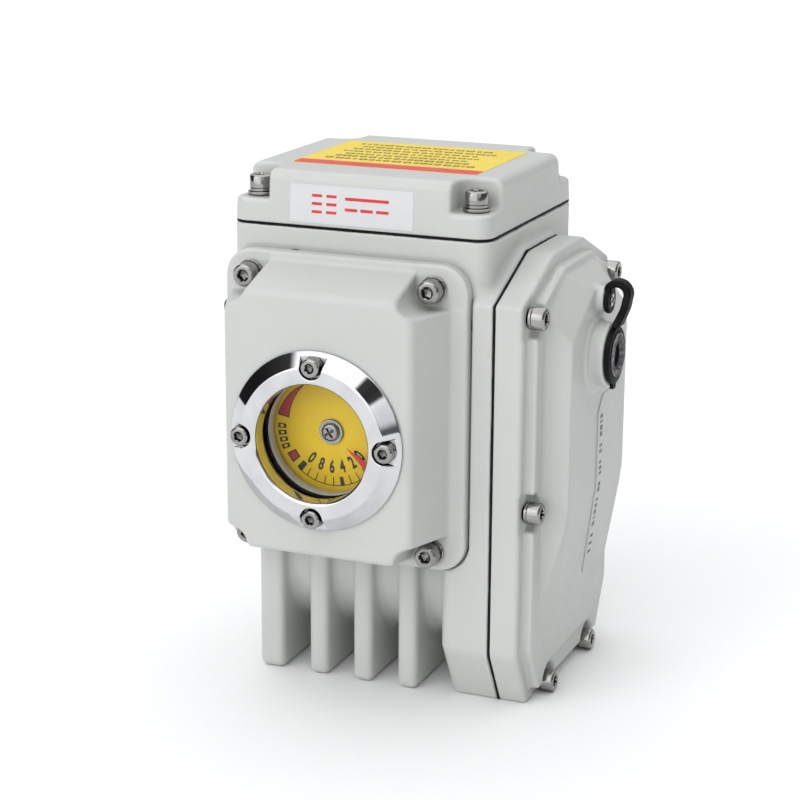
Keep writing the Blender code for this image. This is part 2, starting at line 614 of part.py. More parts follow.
def make_bearings(root):
    plate = box("bearing_plate", (-39.7, 41.7), (32.0, 38.5), (-27.7, 43.7))
    cut(plate, hole("Y", (0, 0), 15.3, 28.0, 45.0, 24))
    finish(plate, STEEL, root)

    def bush(name, axis, centre, inner, outer, start, stop):
        finish(turned(name, axis, centre, [(inner, start), (outer, start), (outer, stop), (inner, stop)],
                      24, hollow=True), BRONZE, root)

    bush("front_bush", "Y", (0, 0), 11.3, 15.0, 31.6, 40.0)
    bush("rear_bush", "Y", (0, 0), SHAFT_RADIUS + GAP, 20.0, 70.0, 112.0)
    bush("worm_bearing_left", "X", (WORM_Y, WORM_Z), 5.3, 9.7, -50.0, -42.0)
    bush("worm_bearing_right", "X", (WORM_Y, WORM_Z), 5.3, 9.7, 44.0, 53.0)


def make_switches(root):
    bracket_face = 38.0
    outline = [(bracket_face, 3.0), (bracket_face + 1.6, 3.0), (bracket_face + 1.6, 31.6),
               (25.0, 31.6), (25.0, 30.0), (bracket_face, 30.0)]
    finish(prism("switch_bracket", "Z", outline, -14.0, 14.0), STEEL, root)
    for name, front in SWITCH_ROWS:
        switch = box(f"limit_switch_{name}", (23.0, bracket_face - GAP), (front - 1, front + 7), (-10, 10))
        cut(switch, hole("X", (front + 3, 0.0), 1.8, 20.0, 28.0))
        finish(switch, PLASTIC, root)
        button_pivot = pivot(f"switch_{name}_pivot", root, 23.0, front + 3, 0.0)
        button = turned(f"switch_button_{name}", "X", (front + 3, 0.0),
                        [(1.0, 17.6), (1.5, 18.2), (1.5, 26.0)], 12)
        finish(button, PLASTIC, button_pivot)


# ---------------------------------------------------------------- worm shaft, gears and motor

def make_worm(root, worm_pivot):
    centre = (WORM_Y, WORM_Z)
    worm = turned("worm_shaft", "X", centre, [
        (5.0, -49.5), (5.0, -30.0), (6.1, -28.0), (6.1, 30.0), (5.0, 32.0), (5.0, 84.0),
        (4.0, 84.0, "hex"), (4.0, GEAR_COVER_FACE - 3.2, "hex")], 12)
    steps_per_turn, turns = 12, 8
    root_radius, tip_radius = 5.0, WORM_PITCH_RADIUS + 0.8 * WORM_MODULE
    rings = []
    for step in range(-turns * steps_per_turn // 2, turns * steps_per_turn // 2 + 1):
        angle = 2 * math.pi * step / steps_per_turn - math.pi / 2
        x = WORM_LEAD * step / steps_per_turn
        fade = min(1.0, 0.1 + 0.3 * (turns * steps_per_turn / 2 - abs(step)))
        tip = root_radius + (tip_radius - root_radius) * fade
        ring = []
        for radius, sign in ((root_radius, -1), (tip, -1), (tip, 1), (root_radius, 1)):
            half = 0.95 - (radius - WORM_PITCH_RADIUS) * math.tan(math.radians(20))
            ring.append((x + sign * half, WORM_Y + radius * math.cos(angle),
                         WORM_Z + radius * math.sin(angle)))
        rings.append(ring)
    join(worm, make_solid("thread", rings))
    finish(worm, STEEL, worm_pivot)


def mating_phase(centre, teeth, phase, mate_centre, mate_teeth):
    """Phase of a gear that meshes with one of known phase."""
    direction = math.degrees(math.atan2(mate_centre[1] - centre[1], mate_centre[0] - centre[0]))
    pitch = 360 / teeth
    ahead = (phase - direction + pitch / 2) % pitch - pitch / 2
    gap = direction + 180 - ahead * teeth / mate_teeth
    return gap + 180 / mate_teeth


def spur(name, centre, teeth, phase, bore):
    outline = gear_outline(centre, teeth, SPUR_MODULE, phase, tip=0.75, root=1.15, backlash=0.65)
    gear = prism(name, "X", outline, SPUR_LEFT, SPUR_RIGHT)
    cut(gear, hole("X", centre, bore, SPUR_LEFT - 5, SPUR_RIGHT + 5, 16))
    return gear


def make_spur_train(root, worm_pivot, idler_pivot, motor_pivot):
    worm, motor = (WORM_Y, WORM_Z), (MOTOR_Y, MOTOR_Z)
    idler_phase = 0.0
    drive_phase = mating_phase(IDLER, IDLER_TEETH, idler_phase, worm, DRIVE_TEETH)
    pinion_phase = mating_phase(IDLER, IDLER_TEETH, idler_phase, motor, PINION_TEETH)
    finish(spur("worm_drive_gear", worm, DRIVE_TEETH, drive_phase, 5.3), STEEL, worm_pivot)
    finish(spur("idler_gear", IDLER, IDLER_TEETH, idler_phase, 5.1), STEEL, idler_pivot)
    finish(spur("motor_pinion", motor, PINION_TEETH, pinion_phase, 3.3), STEEL, motor_pivot)
    finish(turned("idler_pin", "X", IDLER, [
        (3.0, 50.0), (3.0, 55.3), (8.0, 55.3), (8.0, 57.5), (5.0, 57.5), (5.0, 70.0)], 16), STEEL, root)


def make_motor(root, motor_pivot):
    centre = (MOTOR_Y, MOTOR_Z)
    finish(turned("motor_body", "X", centre, [
        (3.3, -34.0), (28.0, -34.0), (30.5, -31.0), (30.5, 46.0), (20.0, 46.0), (20.0, -29.0),
        (3.3, -29.0)], 28, hollow=True), STEEL, root)
    finish(turned("motor_end_plate", "X", centre, [
        (3.3, 46.3), (30.5, 46.3), (30.5, 51.0), (3.3, 51.0)], 28, hollow=True), STEEL, root)
    finish(turned("motor_rotor", "X", centre, [
        (3.0, -33.5), (3.0, -24.0), (12.0, -24.0), (12.0, 34.0), (3.0, 34.0), (3.0, 70.0)], 20),
        STEEL, motor_pivot)


# ---------------------------------------------------------------- electrical parts

def make_electrics(root):
    board = box("control_board", (-36.0, 44.0), (24.0, 92.0), (55.0, 56.6))
    join(board, box("relay", (10.0, 38.0), (30.0, 46.0), (56.0, 68.0)))
    join(board, box("capacitors", (-28.0, -12.0), (32.0, 48.0), (56.0, 70.0)))
    finish(board, GREEN, root)
    terminals = box("terminal_block", (-30.0, 40.0), (68.0, 84.0), (57.0, 73.0))
    pitch, count = 8.6, 8
    for i in range(count):
        x = -30.0 + 1.4 + pitch * i
        cut(terminals, box("slot", (x, x + pitch - 2.2), (60.0, 77.0), (66.0, 80.0)))
    finish(terminals, PLASTIC, root)
    for i, y in enumerate(GLAND_Y):
        gland = turned(f"cable_gland_{i + 1}", "X", (y, GLAND_Z), [
            (9.9, -49.0), (9.9, WALL_LEFT - GAP), (12.0, WALL_LEFT - GAP, "hex"),
            (12.0, WALL_LEFT - 6, "hex"), (10.0, WALL_LEFT - 6), (10.0, WALL_LEFT - 7.5),
            (11.5, WALL_LEFT - 7.5), (11.5, WALL_LEFT - 15), (7.5, WALL_LEFT - 20)], 24)
        finish(gland, PLASTIC, root)
    finish(turned("earth_screw", "X", EARTH_SPOT, [
        (1.0, WALL_LEFT - 3.0), (1.0, WALL_LEFT - 5.0), (2.4, WALL_LEFT - 5.0), (3.4, WALL_LEFT - 3.4),
        (3.4, WALL_LEFT - 1.7), (5.0, WALL_LEFT - 1.7), (5.0, WALL_LEFT - GAP), (2.5, WALL_LEFT - GAP),
        (2.5, WALL_LEFT + 6)], 16), STEEL, root)


def clear_scene():
    for piece in list(bpy.data.objects):
        bpy.data.objects.remove(piece, do_unlink=True)


def stand_on_ground(root):
    """Moves the assembly so that it stands on z = 0, centred on the origin."""
    bpy.context.view_layer.update()
    corners = [piece.matrix_world @ vertex.co for piece in bpy.data.objects if piece.type == "MESH"
               for vertex in piece.data.vertices]
    low = [min(c[i] for c in corners) for i in range(3)]
    high = [max(c[i] for c in corners) for i in range(3)]
    root.location = (-(low[0] + high[0]) / 2, -(low[1] + high[1]) / 2, -low[2])
    bpy.context.view_layer.update()


def main():
    clear_scene()
    root = bpy.data.objects.new("actuator", None)
    bpy.context.collection.objects.link(root)
    shaft_pivot = pivot("output_pivot", root, 0, PAD_FACE, 0)
    worm_pivot = pivot("worm_pivot", root, 0, WORM_Y, WORM_Z)
    idler_pivot = pivot("idler_pivot", root, SPUR_LEFT, *IDLER)
    motor_pivot = pivot("motor_pivot", root, 0, MOTOR_Y, MOTOR_Z)
    plug_pivot = pivot("plug_pivot", root, GEAR_COVER_FACE, WORM_Y, WORM_Z)

    make_housing(root)
    make_lid(root)
    make_dial_cover(root)
    make_window(root)
    make_gear_cover(root)
    make_override_port(root, plug_pivot)
    make_output(root, shaft_pivot)
    make_bearings(root)
    make_switches(root)
    make_worm(root, worm_pivot)
    make_spur_train(root, worm_pivot, idler_pivot, motor_pivot)
    make_motor(root, motor_pivot)
    make_electrics(root)
    stand_on_ground(root)


main()
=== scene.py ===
"""Looks of a quarter-turn valve actuator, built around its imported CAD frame.

Shapes are drawn in millimetres in the design frame (x right, y back, z up, the output shaft on the Y axis,
y = 0 at the housing's front wall) and then moved by ORIGIN, which is read from the frame.
"""
import math

import bmesh
import bpy
import numpy as np
from mathutils import Euler, Matrix, Vector


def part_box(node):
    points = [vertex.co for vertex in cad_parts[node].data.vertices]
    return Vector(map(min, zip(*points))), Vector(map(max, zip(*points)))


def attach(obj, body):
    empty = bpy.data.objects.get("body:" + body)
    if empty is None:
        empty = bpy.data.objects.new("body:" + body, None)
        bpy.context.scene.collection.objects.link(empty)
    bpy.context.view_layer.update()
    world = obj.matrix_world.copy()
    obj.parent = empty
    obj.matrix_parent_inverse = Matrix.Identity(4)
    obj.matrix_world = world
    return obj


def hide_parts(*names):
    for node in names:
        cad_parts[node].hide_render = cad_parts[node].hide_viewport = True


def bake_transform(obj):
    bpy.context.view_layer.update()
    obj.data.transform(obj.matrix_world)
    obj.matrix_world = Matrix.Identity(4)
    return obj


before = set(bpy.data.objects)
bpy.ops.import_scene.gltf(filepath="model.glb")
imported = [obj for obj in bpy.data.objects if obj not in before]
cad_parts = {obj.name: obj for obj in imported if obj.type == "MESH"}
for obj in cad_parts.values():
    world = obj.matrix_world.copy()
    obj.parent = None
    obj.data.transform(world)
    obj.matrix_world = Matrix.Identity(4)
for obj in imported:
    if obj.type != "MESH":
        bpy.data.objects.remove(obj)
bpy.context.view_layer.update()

MM = 0.001

# ---- the design frame's place

PAD_FACE = 122.0
shaft_low, shaft_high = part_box("output_shaft")
ORIGIN = Vector(((shaft_low.x + shaft_high.x) / 2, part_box("housing")[1].y - PAD_FACE * MM,
                 (shaft_low.z + shaft_high.z) / 2))


def edges(node):
    """A CAD node's lowest and highest corners in the design frame, in millimetres."""
    low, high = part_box(node)
    return (low - ORIGIN) / MM, (high - ORIGIN) / MM


# ---- dimensions, in millimetres

housing_low, housing_high = edges("housing")
lid_low, lid_high = edges("terminal_lid")
cover_low, cover_high = edges("dial_cover")

WALL_LEFT, WALL_RIGHT = lid_low.x, lid_high.x
WALL_FRONT, WALL_BACK = lid_low.y, lid_high.y
WALLS = (WALL_LEFT, WALL_RIGHT, WALL_FRONT, WALL_BACK)
BLOCK_BOTTOM, BLOCK_TOP = -60.0, lid_low.z - 1.2
CORNER_RADIUS = 8.0
BASE_Z = housing_low.z
LID_BOTTOM, LID_TOP = lid_low.z, lid_high.z
LID_SEAT = 99.0
LID_DRAFT = 0.055
LID_SCREWS = ((-47.0, 11.0), (-47.0, 106.0), (57.0, 11.0), (57.0, 106.0))

COVER_LEFT, COVER_RIGHT = cover_low.x, cover_high.x
COVER_LOW, COVER_HIGH = cover_low.z, cover_high.z
FLANGE, FLANGE_RADIUS = (COVER_LEFT, COVER_RIGHT, COVER_LOW, COVER_HIGH), 13.0
COVER_SEAT, COVER_FACE = -7.0, cover_low.y
COVER_SCREWS = ((-43.4, 67.0), (-43.4, -53.5), (44.8, 67.0), (44.8, -53.5))

RING_FACE = edges("window_ring")[0].y
RING_BORE, RING_BAND, RING_BASE, RING_EDGE = 26.8, 34.2, 41.0, -34.0
RING_SCREW_RADIUS, RING_SEAT = 34.5, -35.3
LIP_BORE, GLASS_RADIUS = 27.0, 30.2
DIAL_FRONT, DIAL_BACK = edges("position_dial")[0].y, edges("position_dial")[1].y
DIAL_RADIUS = 31.0

CASE_LEFT, CASE_SEAM = 47.0, housing_high.x
GEAR_BACK = edges("gear_cover")[0].x
CASE_FRONT, CASE_BACK, CASE_TOP = -3.4, 121.9, 77.9
GEAR_LIP, GEAR_LEDGE, GEAR_FACE = 84.4, 89.0, 100.4
GEAR_SCREWS = ((5.6, 55.2), (5.6, -33.5), (112.9, 55.2), (112.9, -33.5), (30.8, -122.6), (87.7, -122.6))
POCKET_RADIUS = 8.5

MOTOR_Y, MOTOR_Z, TUBE_RADIUS, MOTOR_BORE = 50.5, -73.0, 38.0, 31.0
FINS = ((-48.0, -35.4), (-22.3, -12.6), (0.1, 9.8), (22.5, 32.2))
FIN_FRONT, FIN_BACK = 6.0, 100.0
PORT = WORM_Y, WORM_Z = 52.0, 30.5
PORT_END, PLUG_RADIUS = 107.7, 13.2
STUD = STRAP_Y, STRAP_Z = 55.5, 54.9
GLAND_Y, GLAND_Z = (63.0, 94.0), 68.0
EARTH = (8.0, 46.5)
PAD_RADIUS, PAD_BOLT_CIRCLE = 45.0, 35.0


# ---- fields: solids as signed distances

def meet(a, b, radius=0.0):
    """Where both solids are, with a rounded edge."""
    if radius <= 0:
        return np.maximum(a, b)
    u, v = np.maximum(a + radius, 0), np.maximum(b + radius, 0)
    return np.minimum(np.maximum(a, b), -radius) + np.sqrt(u * u + v * v)


def merge(a, b, radius=0.0):
    """Where either solid is, with a fillet between them."""
    return -meet(-a, -b, radius)


def carve(a, b, radius=0.0):
    """The first solid without the second, with a rounded rim."""
    return meet(a, -b, radius)


def slab(t, low, high):
    return np.abs(t - (low + high) / 2) - (high - low) / 2


def plate(a, b, limits, radius):
    """A rectangle with rounded corners: limits are (a low, a high, b low, b high)."""
    u = slab(a, limits[0], limits[1]) + radius
    v = slab(b, limits[2], limits[3]) + radius
    return np.minimum(np.maximum(u, v), 0) + np.hypot(np.maximum(u, 0), np.maximum(v, 0)) - radius


def polar(radius, degrees):
    turn = math.radians(degrees)
    return radius * math.cos(turn), radius * math.sin(turn)


def disc(a, b, centre, radius):
    return np.hypot(a - centre[0], b - centre[1]) - radius


def polygon(a, b, corners, radius):
    """A convex outline whose corners go round it anticlockwise."""
    field = None
    for (a0, b0), (a1, b1) in zip(corners, corners[1:] + corners[:1]):
        reach = math.hypot(a1 - a0, b1 - b0)
        side = ((a - a0) * (b1 - b0) - (b - b0) * (a1 - a0)) / reach
        field = side if field is None else meet(field, side, radius)
    return field


def facet(point, corners, middle):
    """The half-space bounded by the plane through three corners, on the side that holds middle."""
    first, second, third = (Vector(c) for c in corners)
    normal = (second - first).cross(third - first).normalized()
    if normal.dot(Vector(middle) - first) > 0:
        normal = -normal
    return sum(n * (p - f) for n, p, f in zip(normal, point, first))


def octagon(front, back, low, high, top_cut, bottom_cut):
    """Gear-case outline in (y, z): a rectangle with its top and bottom corners cut off."""
    return [(front, low + bottom_cut[1]), (front + bottom_cut[0], low),
            (back - bottom_cut[0], low), (back, low + bottom_cut[1]),
            (back, high - top_cut[1]), (back - top_cut[0], high),
            (front + top_cut[0], high), (front, high - top_cut[1])]


def cut_inset(size, inset):
    """Size of a corner cut after its outline is moved inwards."""
    a, b = size
    slant = math.hypot(a, b)
    return a - inset * (1 + (a - slant) / b), b - inset * (1 + (b - slant) / a)


def case_outline(inset=0.0):
    return octagon(CASE_FRONT + inset, CASE_BACK - inset, BASE_Z + inset, CASE_TOP - inset,
                   cut_inset((41.5, 16.9), inset), cut_inset((15.5, 27.0), inset))


def corner_pocket(a, b, centre, outward):
    """A screw pocket in a corner: round inside, open outwards."""
    u = -outward[0] * (a - centre[0]) - POCKET_RADIUS
    v = -outward[1] * (b - centre[1]) - POCKET_RADIUS
    return meet(u, v, POCKET_RADIUS)


def housing_field(x, y, z):
    wall = plate(x, y, WALLS, CORNER_RADIUS)
    body = meet(meet(wall, BLOCK_BOTTOM - z, 4.0), z - BLOCK_TOP, 0.6)
    tube = meet(disc(y, z, (MOTOR_Y, MOTOR_Z), TUBE_RADIUS), slab(x, -44.0, CASE_LEFT + 2), 4.0)
    body = merge(body, tube, 5.0)
    for left, right in FINS:
        fin = plate(y, z, (FIN_FRONT, FIN_BACK, BASE_Z, -40.0), 4.0)
        body = merge(body, meet(fin, slab(x, left, right), 3.2), 3.0)
    case = polygon(y, z, case_outline(), 1.2)
    case = meet(meet(case, CASE_LEFT - x, 6.0), x - CASE_SEAM, 0.5)
    body = merge(body, case, 5.0)
    pad = meet(disc(x, z, (0, 0), PAD_RADIUS), slab(y, WALL_BACK - 4, PAD_FACE), 0.8)
    body = merge(body, pad, 1.2)

    seat = plate(x, z, (COVER_LEFT - 1, COVER_RIGHT + 1, COVER_LOW - 1, COVER_HIGH + 1), 14.0)
    body = carve(body, meet(seat, slab(y, -9.0, 0.0), 0.4), 0.8)
    posts = np.minimum(disc(x, y, LID_SCREWS[0], 9.0), disc(x, y, LID_SCREWS[1], 9.0))
    room = carve(plate(x, y, (-51.0, 49.0, 8.0, 111.0), 4.0), posts, 1.0)
    body = carve(body, meet(room, slab(z, 50.0, BLOCK_TOP + 9), 1.5), 0.8)
    works = meet(plate(x, z, (-40.0, 42.0, -28.0, 44.0), 1.2), slab(y, -9.0, 67.0), 1.0)
    body = carve(body, works, 0.8)
    body = carve(body, meet(polygon(y, z, case_outline(14.0), 1.0), slab(x, 55.0, CASE_SEAM + 9), 1.0), 0.8)
    bores = [("x", (MOTOR_Y, MOTOR_Z), MOTOR_BORE, -38.0, 60.0), ("x", PORT, 10.0, -50.3, -38.0),
             ("x", PORT, 10.0, 40.0, 60.0), ("y", (0, 0), 20.3, 60.0, PAD_FACE + 9)]
    bores += [("y", polar(PAD_BOLT_CIRCLE, turn), 4.0, PAD_FACE - 14, PAD_FACE + 9) for turn in (45, 135, 225, 315)]
    bores += [("z", spot, 3.3, BLOCK_TOP - 14, BLOCK_TOP + 9) for spot in LID_SCREWS]
    bores += [("y", spot, 3.3, -9.0, 7.0) for spot in COVER_SCREWS]
    bores += [("x", spot, 3.3, CASE_SEAM - 12, CASE_SEAM + 9) for spot in GEAR_SCREWS]
    bores += [("x", (side, GLAND_Z), 10.3, WALL_LEFT - 9, -45.0) for side in GLAND_Y]
    bores.append(("x", EARTH, 2.8, WALL_LEFT - 9, -50.0))
    return bored(body, (x, y, z), bores)


def bored(body, point, bores):
    """body with round holes: (axis, centre across it, radius, start, stop)."""
    x, y, z = point
    across = {"x": (y, z, x), "y": (x, z, y), "z": (x, y, z)}
    for axis, centre, radius, start, stop in bores:
        a, b, length = across[axis]
        body = carve(body, meet(disc(a, b, centre, radius), slab(length, start, stop), 0.3), 0.5)
    return body


def lid_field(x, y, z):
    draft = np.clip(z - LID_BOTTOM, 0, 40) * LID_DRAFT
    wall = plate(x, y, WALLS, CORNER_RADIUS) + draft
    body = meet(meet(wall, LID_BOTTOM - z, 0.6), z - LID_TOP, 4.5)
    for spot in LID_SCREWS:
        outward = (math.copysign(1, spot[0]), math.copysign(1, spot[1] - 50))
        body = carve(body, meet(corner_pocket(x, y, spot, outward), LID_SEAT - z, 1.2), 1.8)
    room = plate(x, y, (-51.0, 61.0, 6.0, 111.0), 4.0)
    for spot in LID_SCREWS:
        room = carve(room, disc(x, y, spot, 12.5), 2.0)
    body = carve(body, meet(room, z - LID_TOP + 5, 2.0), 0.8)
    return bored(body, (x, y, z), [("z", spot, 3.3, LID_BOTTOM - 9, LID_SEAT + 9) for spot in LID_SCREWS])


def dial_cover_field(x, y, z):
    flange = plate(x, z, FLANGE, FLANGE_RADIUS)
    body = meet(meet(flange, COVER_SEAT - y, 1.8), y + 0.25, 0.4)
    rise = COVER_SEAT + 1 - y
    side = (np.abs(x) - 53.5 + rise / 3) * 0.95
    cap = (z - COVER_HIGH + 3.5 + rise / 3) * 0.95
    foot = (COVER_LOW + 4 - z + rise / 6) * 0.986
    raised = meet(meet(side, np.maximum(cap, foot), 12.0), y - COVER_SEAT - 1)
    raised = meet(raised, COVER_FACE - y, 2.6)
    body = merge(body, raised, 1.8)
    for spot in COVER_SCREWS:
        outward = (math.copysign(1, spot[0]), math.copysign(1, spot[1]))
        body = carve(body, meet(corner_pocket(x, z, spot, outward), y - COVER_SEAT, 1.2), 1.5)
    inside = plate(x, z, (-34.0, 34.0, -42.0, 57.0), 6.0)
    body = carve(body, meet(inside, slab(y, -19.0, 9.0), 2.0), 0.6)
    bores = [("y", (0, 0), LIP_BORE, COVER_FACE - 9, 9.0),
             ("y", (0, 0), GLASS_RADIUS + 0.3, COVER_FACE - 9, -24.0)]
    bores += [("y", spot, 2.8, COVER_FACE - 9, COVER_FACE + 9) for spot in RING_SPOTS]
    bores += [("y", spot, 3.3, -12.0, 9.0) for spot in COVER_SCREWS]
    return bored(body, (x, y, z), bores)


RING_SPOTS = [polar(RING_SCREW_RADIUS, turn) for turn in (0, 90, 180, 270)]


def gear_cover_field(x, y, z):
    body = meet(polygon(y, z, case_outline(0.1), 1.2), GEAR_BACK - x, 0.6)
    body = meet(body, x - GEAR_LIP, 1.8)
    ledge = meet(polygon(y, z, case_outline(6.6), 1.0), slab(x, GEAR_LIP - 4, GEAR_LEDGE), 1.3)
    body = merge(body, ledge, 1.2)

    low, high = GEAR_LEDGE + 1.8, GEAR_FACE - 1.4
    middle = (GEAR_LEDGE, WORM_Y, 0.0)
    point = (x, y, z)
    raised = meet(x - GEAR_FACE, GEAR_LEDGE - 3 - x)
    lower_face = facet(point, ((low, 20.0, -110.5), (low, 90.0, -110.5), (high, 50.0, -45.0)), middle)
    raised = meet(raised, lower_face, 0.6)
    foot = (-112.0 - z + (x - GEAR_LEDGE) * 0.6) * 0.86
    raised = meet(raised, foot, 1.5)
    head = facet(point, ((low, 40.0, 67.4), (low, 80.0, 67.4), (high, 50.0, 61.0)), middle)
    raised = meet(raised, head, 0.8)
    side = ((low, 14.2, 0), (low, 14.2, 40), (high, 17.0, 0))
    shoulder = ((low, 14.2, 53.2), (low, 38.6, 67.4), (high, 17.0, 43.6))
    toe = ((low, 14.2, -73.5), (low, 29.7, -110.5), (high, 17.2, -45.0))
    for mirrored in (False, True):
        for corners, radius in ((side, 0.7), (shoulder, 0.4), (toe, 0.3)):
            if mirrored:
                corners = [(px, CASE_FRONT + CASE_BACK - py, pz) for px, py, pz in corners]
            raised = meet(raised, facet(point, corners, middle), radius)
    body = merge(body, raised, 1.4)

    for spot_y, spot_z in GEAR_SCREWS:
        if spot_z > -100:
            inward = np.minimum((y - spot_y) * math.copysign(1, spot_y - WORM_Y), 0)
            hollow = np.hypot(inward, z - spot_z) - POCKET_RADIUS
        else:
            hollow = np.hypot(y - spot_y, np.maximum(z - spot_z, 0)) - POCKET_RADIUS
        body = carve(body, meet(hollow, GEAR_LIP - x, 1.0), 2.0)

    step = meet(disc(y, z, PORT, 17.6), slab(x, GEAR_FACE - 4, GEAR_FACE + 1.3), 0.8)
    boss = meet(disc(y, z, PORT, 14.7), slab(x, GEAR_FACE - 4, PORT_END), 0.9)
    body = merge(merge(body, step, 1.6), boss, 1.4)
    stud = meet(disc(y, z, STUD, 6.1), slab(x, GEAR_FACE - 4, GEAR_FACE + 3.2), 0.8)
    body = merge(body, stud, 1.8)

    body = carve(body, meet(polygon(y, z, case_outline(14.0), 1.0), x - GEAR_BACK - 10.0, 1.5), 0.6)
    room = octagon(24.0, 95.0, -36.0, 56.0, (24.0, 13.0), (4.0, 4.0))
    body = carve(body, meet(polygon(y, z, room, 1.0), x - 95.0, 1.5), 0.6)
    bores = [("x", PORT, 8.6, 90.0, GEAR_FACE + 14), ("x", STUD, 1.9, GEAR_FACE - 3, GEAR_FACE + 9)]
    bores += [("x", spot, 3.3, GEAR_BACK - 9, GEAR_LIP + 9) for spot in GEAR_SCREWS]
    return bored(body, point, bores)


def ring_field(x, y, z):
    radius = np.hypot(x, z)
    wide, deep = RING_BASE - RING_BAND, RING_EDGE - RING_FACE
    band = ((radius - RING_BAND) * deep - (y - RING_FACE) * wide) / math.hypot(wide, deep)
    body = meet(meet(radius - RING_BASE, band, 0.25), RING_FACE - y, 0.35)
    body = meet(body, y - COVER_FACE + 0.3, 0.15)
    sleeve = meet(radius - GLASS_RADIUS + 0.2, y + 30.4, 0.2)
    body = merge(body, meet(sleeve, -36.0 - y), 0.1)
    body = carve(body, radius - RING_BORE, 1.5)
    for a, b, sign in ((x, z, 1), (z, x, 1), (x, z, -1), (z, x, -1)):
        out = a * sign - RING_SCREW_RADIUS
        hollow = np.hypot(np.minimum(out, 0), b) - 5.3 - np.maximum(out, 0) * 0.24
        body = carve(body, meet(hollow, y - RING_SEAT, 0.3), 0.25)
        body = carve(body, np.hypot(out, b) - 2.8)
    return body


def smoothed(points, steps):
    """More points on a smooth curve through these ones."""
    points = np.array(points, float)
    ends = np.vstack([2 * points[0] - points[1], points, 2 * points[-1] - points[-2]])
    curve = []
    for before, start, stop, after in zip(ends, ends[1:], ends[2:], ends[3:]):
        for t in np.arange(steps) / steps:
            curve.append(0.5 * (2 * start + (stop - before) * t + (2 * before - 5 * start + 4 * stop - after) * t ** 2
                                + (3 * start - before - 3 * stop + after) * t ** 3))
    return curve + [points[-1]]


def strap_field(x, y, z):
    """The cap's strap: an eyelet, then a flat loop over to the cap's rim."""
    eyelet = meet(disc(y, z, STUD, 6.3), slab(x, GEAR_FACE + 3.6, GEAR_FACE + 5.8), 0.7)
    loop = [polar(5.0, turn) for turn in np.linspace(150, -20, 9)]
    route = [(4.7, 4.0)] + [(9.0 + a, 3.2 + b) for a, b in loop]
    route += [(13.0, -2.4), (11.6, -6.2), (10.2, -9.6), (9.2, -13.2)]
    route = smoothed([(GEAR_FACE + a, STRAP_Z + b) for a, b in route], 4)
    near, share = np.full(np.shape(x + z), 1e9), np.zeros(np.shape(x + z))
    lengths = np.concatenate(([0.0], np.cumsum([math.dist(a, b) for a, b in zip(route, route[1:])])))
    lengths /= lengths[-1]
    for i, ((x0, z0), (x1, z1)) in enumerate(zip(route, route[1:])):
        reach = (x1 - x0) ** 2 + (z1 - z0) ** 2
        t = np.clip(((x - x0) * (x1 - x0) + (z - z0) * (z1 - z0)) / reach, 0, 1)
        d = np.hypot(x - x0 - t * (x1 - x0), z - z0 - t * (z1 - z0))
        share = np.where(d < near, lengths[i] + (lengths[i + 1] - lengths[i]) * t, share)
        near = np.minimum(near, d)
    centre = STRAP_Y + (WORM_Y - STRAP_Y) * share
    half = 3.5 + 2.4 * share ** 5
    strip = meet(near - 1.75, np.abs(y - centre) - half, 1.0)
    body = merge(eyelet, strip, 0.8)
    body = carve(body, meet(disc(y, z, STUD, 2.0), x - GEAR_FACE - 7.0), 0.3)
    return carve(body, meet(disc(y, z, STUD, 3.9), slab(x, GEAR_FACE + 5.9, GEAR_FACE + 9.0), 0.2), 0.3)


# ---- from fields to meshes

def surface(field, low, high, step):
    """Corners and faces of a field's surface, by surface nets, then moved exactly onto it."""
    count = [int(math.ceil((b - a) / step)) + 1 for a, b in zip(low, high)]
    axes = [np.float32(a) + np.arange(n, dtype=np.float32) * np.float32(step) for a, n in zip(low, count)]
    grid = np.meshgrid(*axes, indexing="ij", sparse=True)
    value = np.asarray(np.broadcast_to(field(*grid), count), dtype=np.float32)
    inside = value < 0
    total = np.zeros([n - 1 for n in count], np.int8)
    offsets = list(np.ndindex(2, 2, 2))
    for i, j, k in offsets:
        total += inside[i:count[0] - 1 + i, j:count[1] - 1 + j, k:count[2] - 1 + k]
    cells = np.argwhere((total > 0) & (total < 8))
    number = np.full(total.shape, -1, np.int64)
    number[tuple(cells.T)] = np.arange(len(cells))
    place, hits = np.zeros((len(cells), 3)), np.zeros(len(cells))
    for a in offsets:
        for axis in range(3):
            if a[axis]:
                continue
            b = list(a)
            b[axis] = 1
            va, vb = value[tuple((cells + a).T)], value[tuple((cells + b).T)]
            crossed = (va < 0) != (vb < 0)
            t = np.where(crossed, va / np.where(crossed, va - vb, 1), 0)
            spot = np.array(a, float) + t[:, None] * np.eye(3)[axis]
            place += spot * crossed[:, None]
            hits += crossed
    corners = (cells + place / hits[:, None]) * step + np.array(low)
    faces = []
    for axis in range(3):
        other = [d for d in range(3) if d != axis]
        lower, upper = [slice(None)] * 3, [slice(None)] * 3
        lower[axis], upper[axis] = slice(0, -1), slice(1, None)
        for d in other:
            lower[d] = upper[d] = slice(1, -1)
        here, there = inside[tuple(lower)], inside[tuple(upper)]
        spots = np.argwhere(here != there)
        starts_inside = here[tuple(spots.T)]
        spots[:, other] += 1
        quad = []
        for da, db in ((0, 0), (-1, 0), (-1, -1), (0, -1)):
            cell = spots.copy()
            cell[:, other] += da, db
            quad.append(number[tuple(cell.T)])
        quad = np.stack(quad, 1)
        flip = starts_inside if axis != 1 else ~starts_inside
        quad[~flip] = quad[~flip][:, ::-1]
        faces.append(quad)
    for _ in range(3):
        value, slope = gradient(field, corners, step * 0.1)
        reach = np.clip(value / np.maximum((slope ** 2).sum(1), 0.2), -step * 0.5, step * 0.5)
        corners -= slope * reach[:, None]
    return corners, np.concatenate(faces)


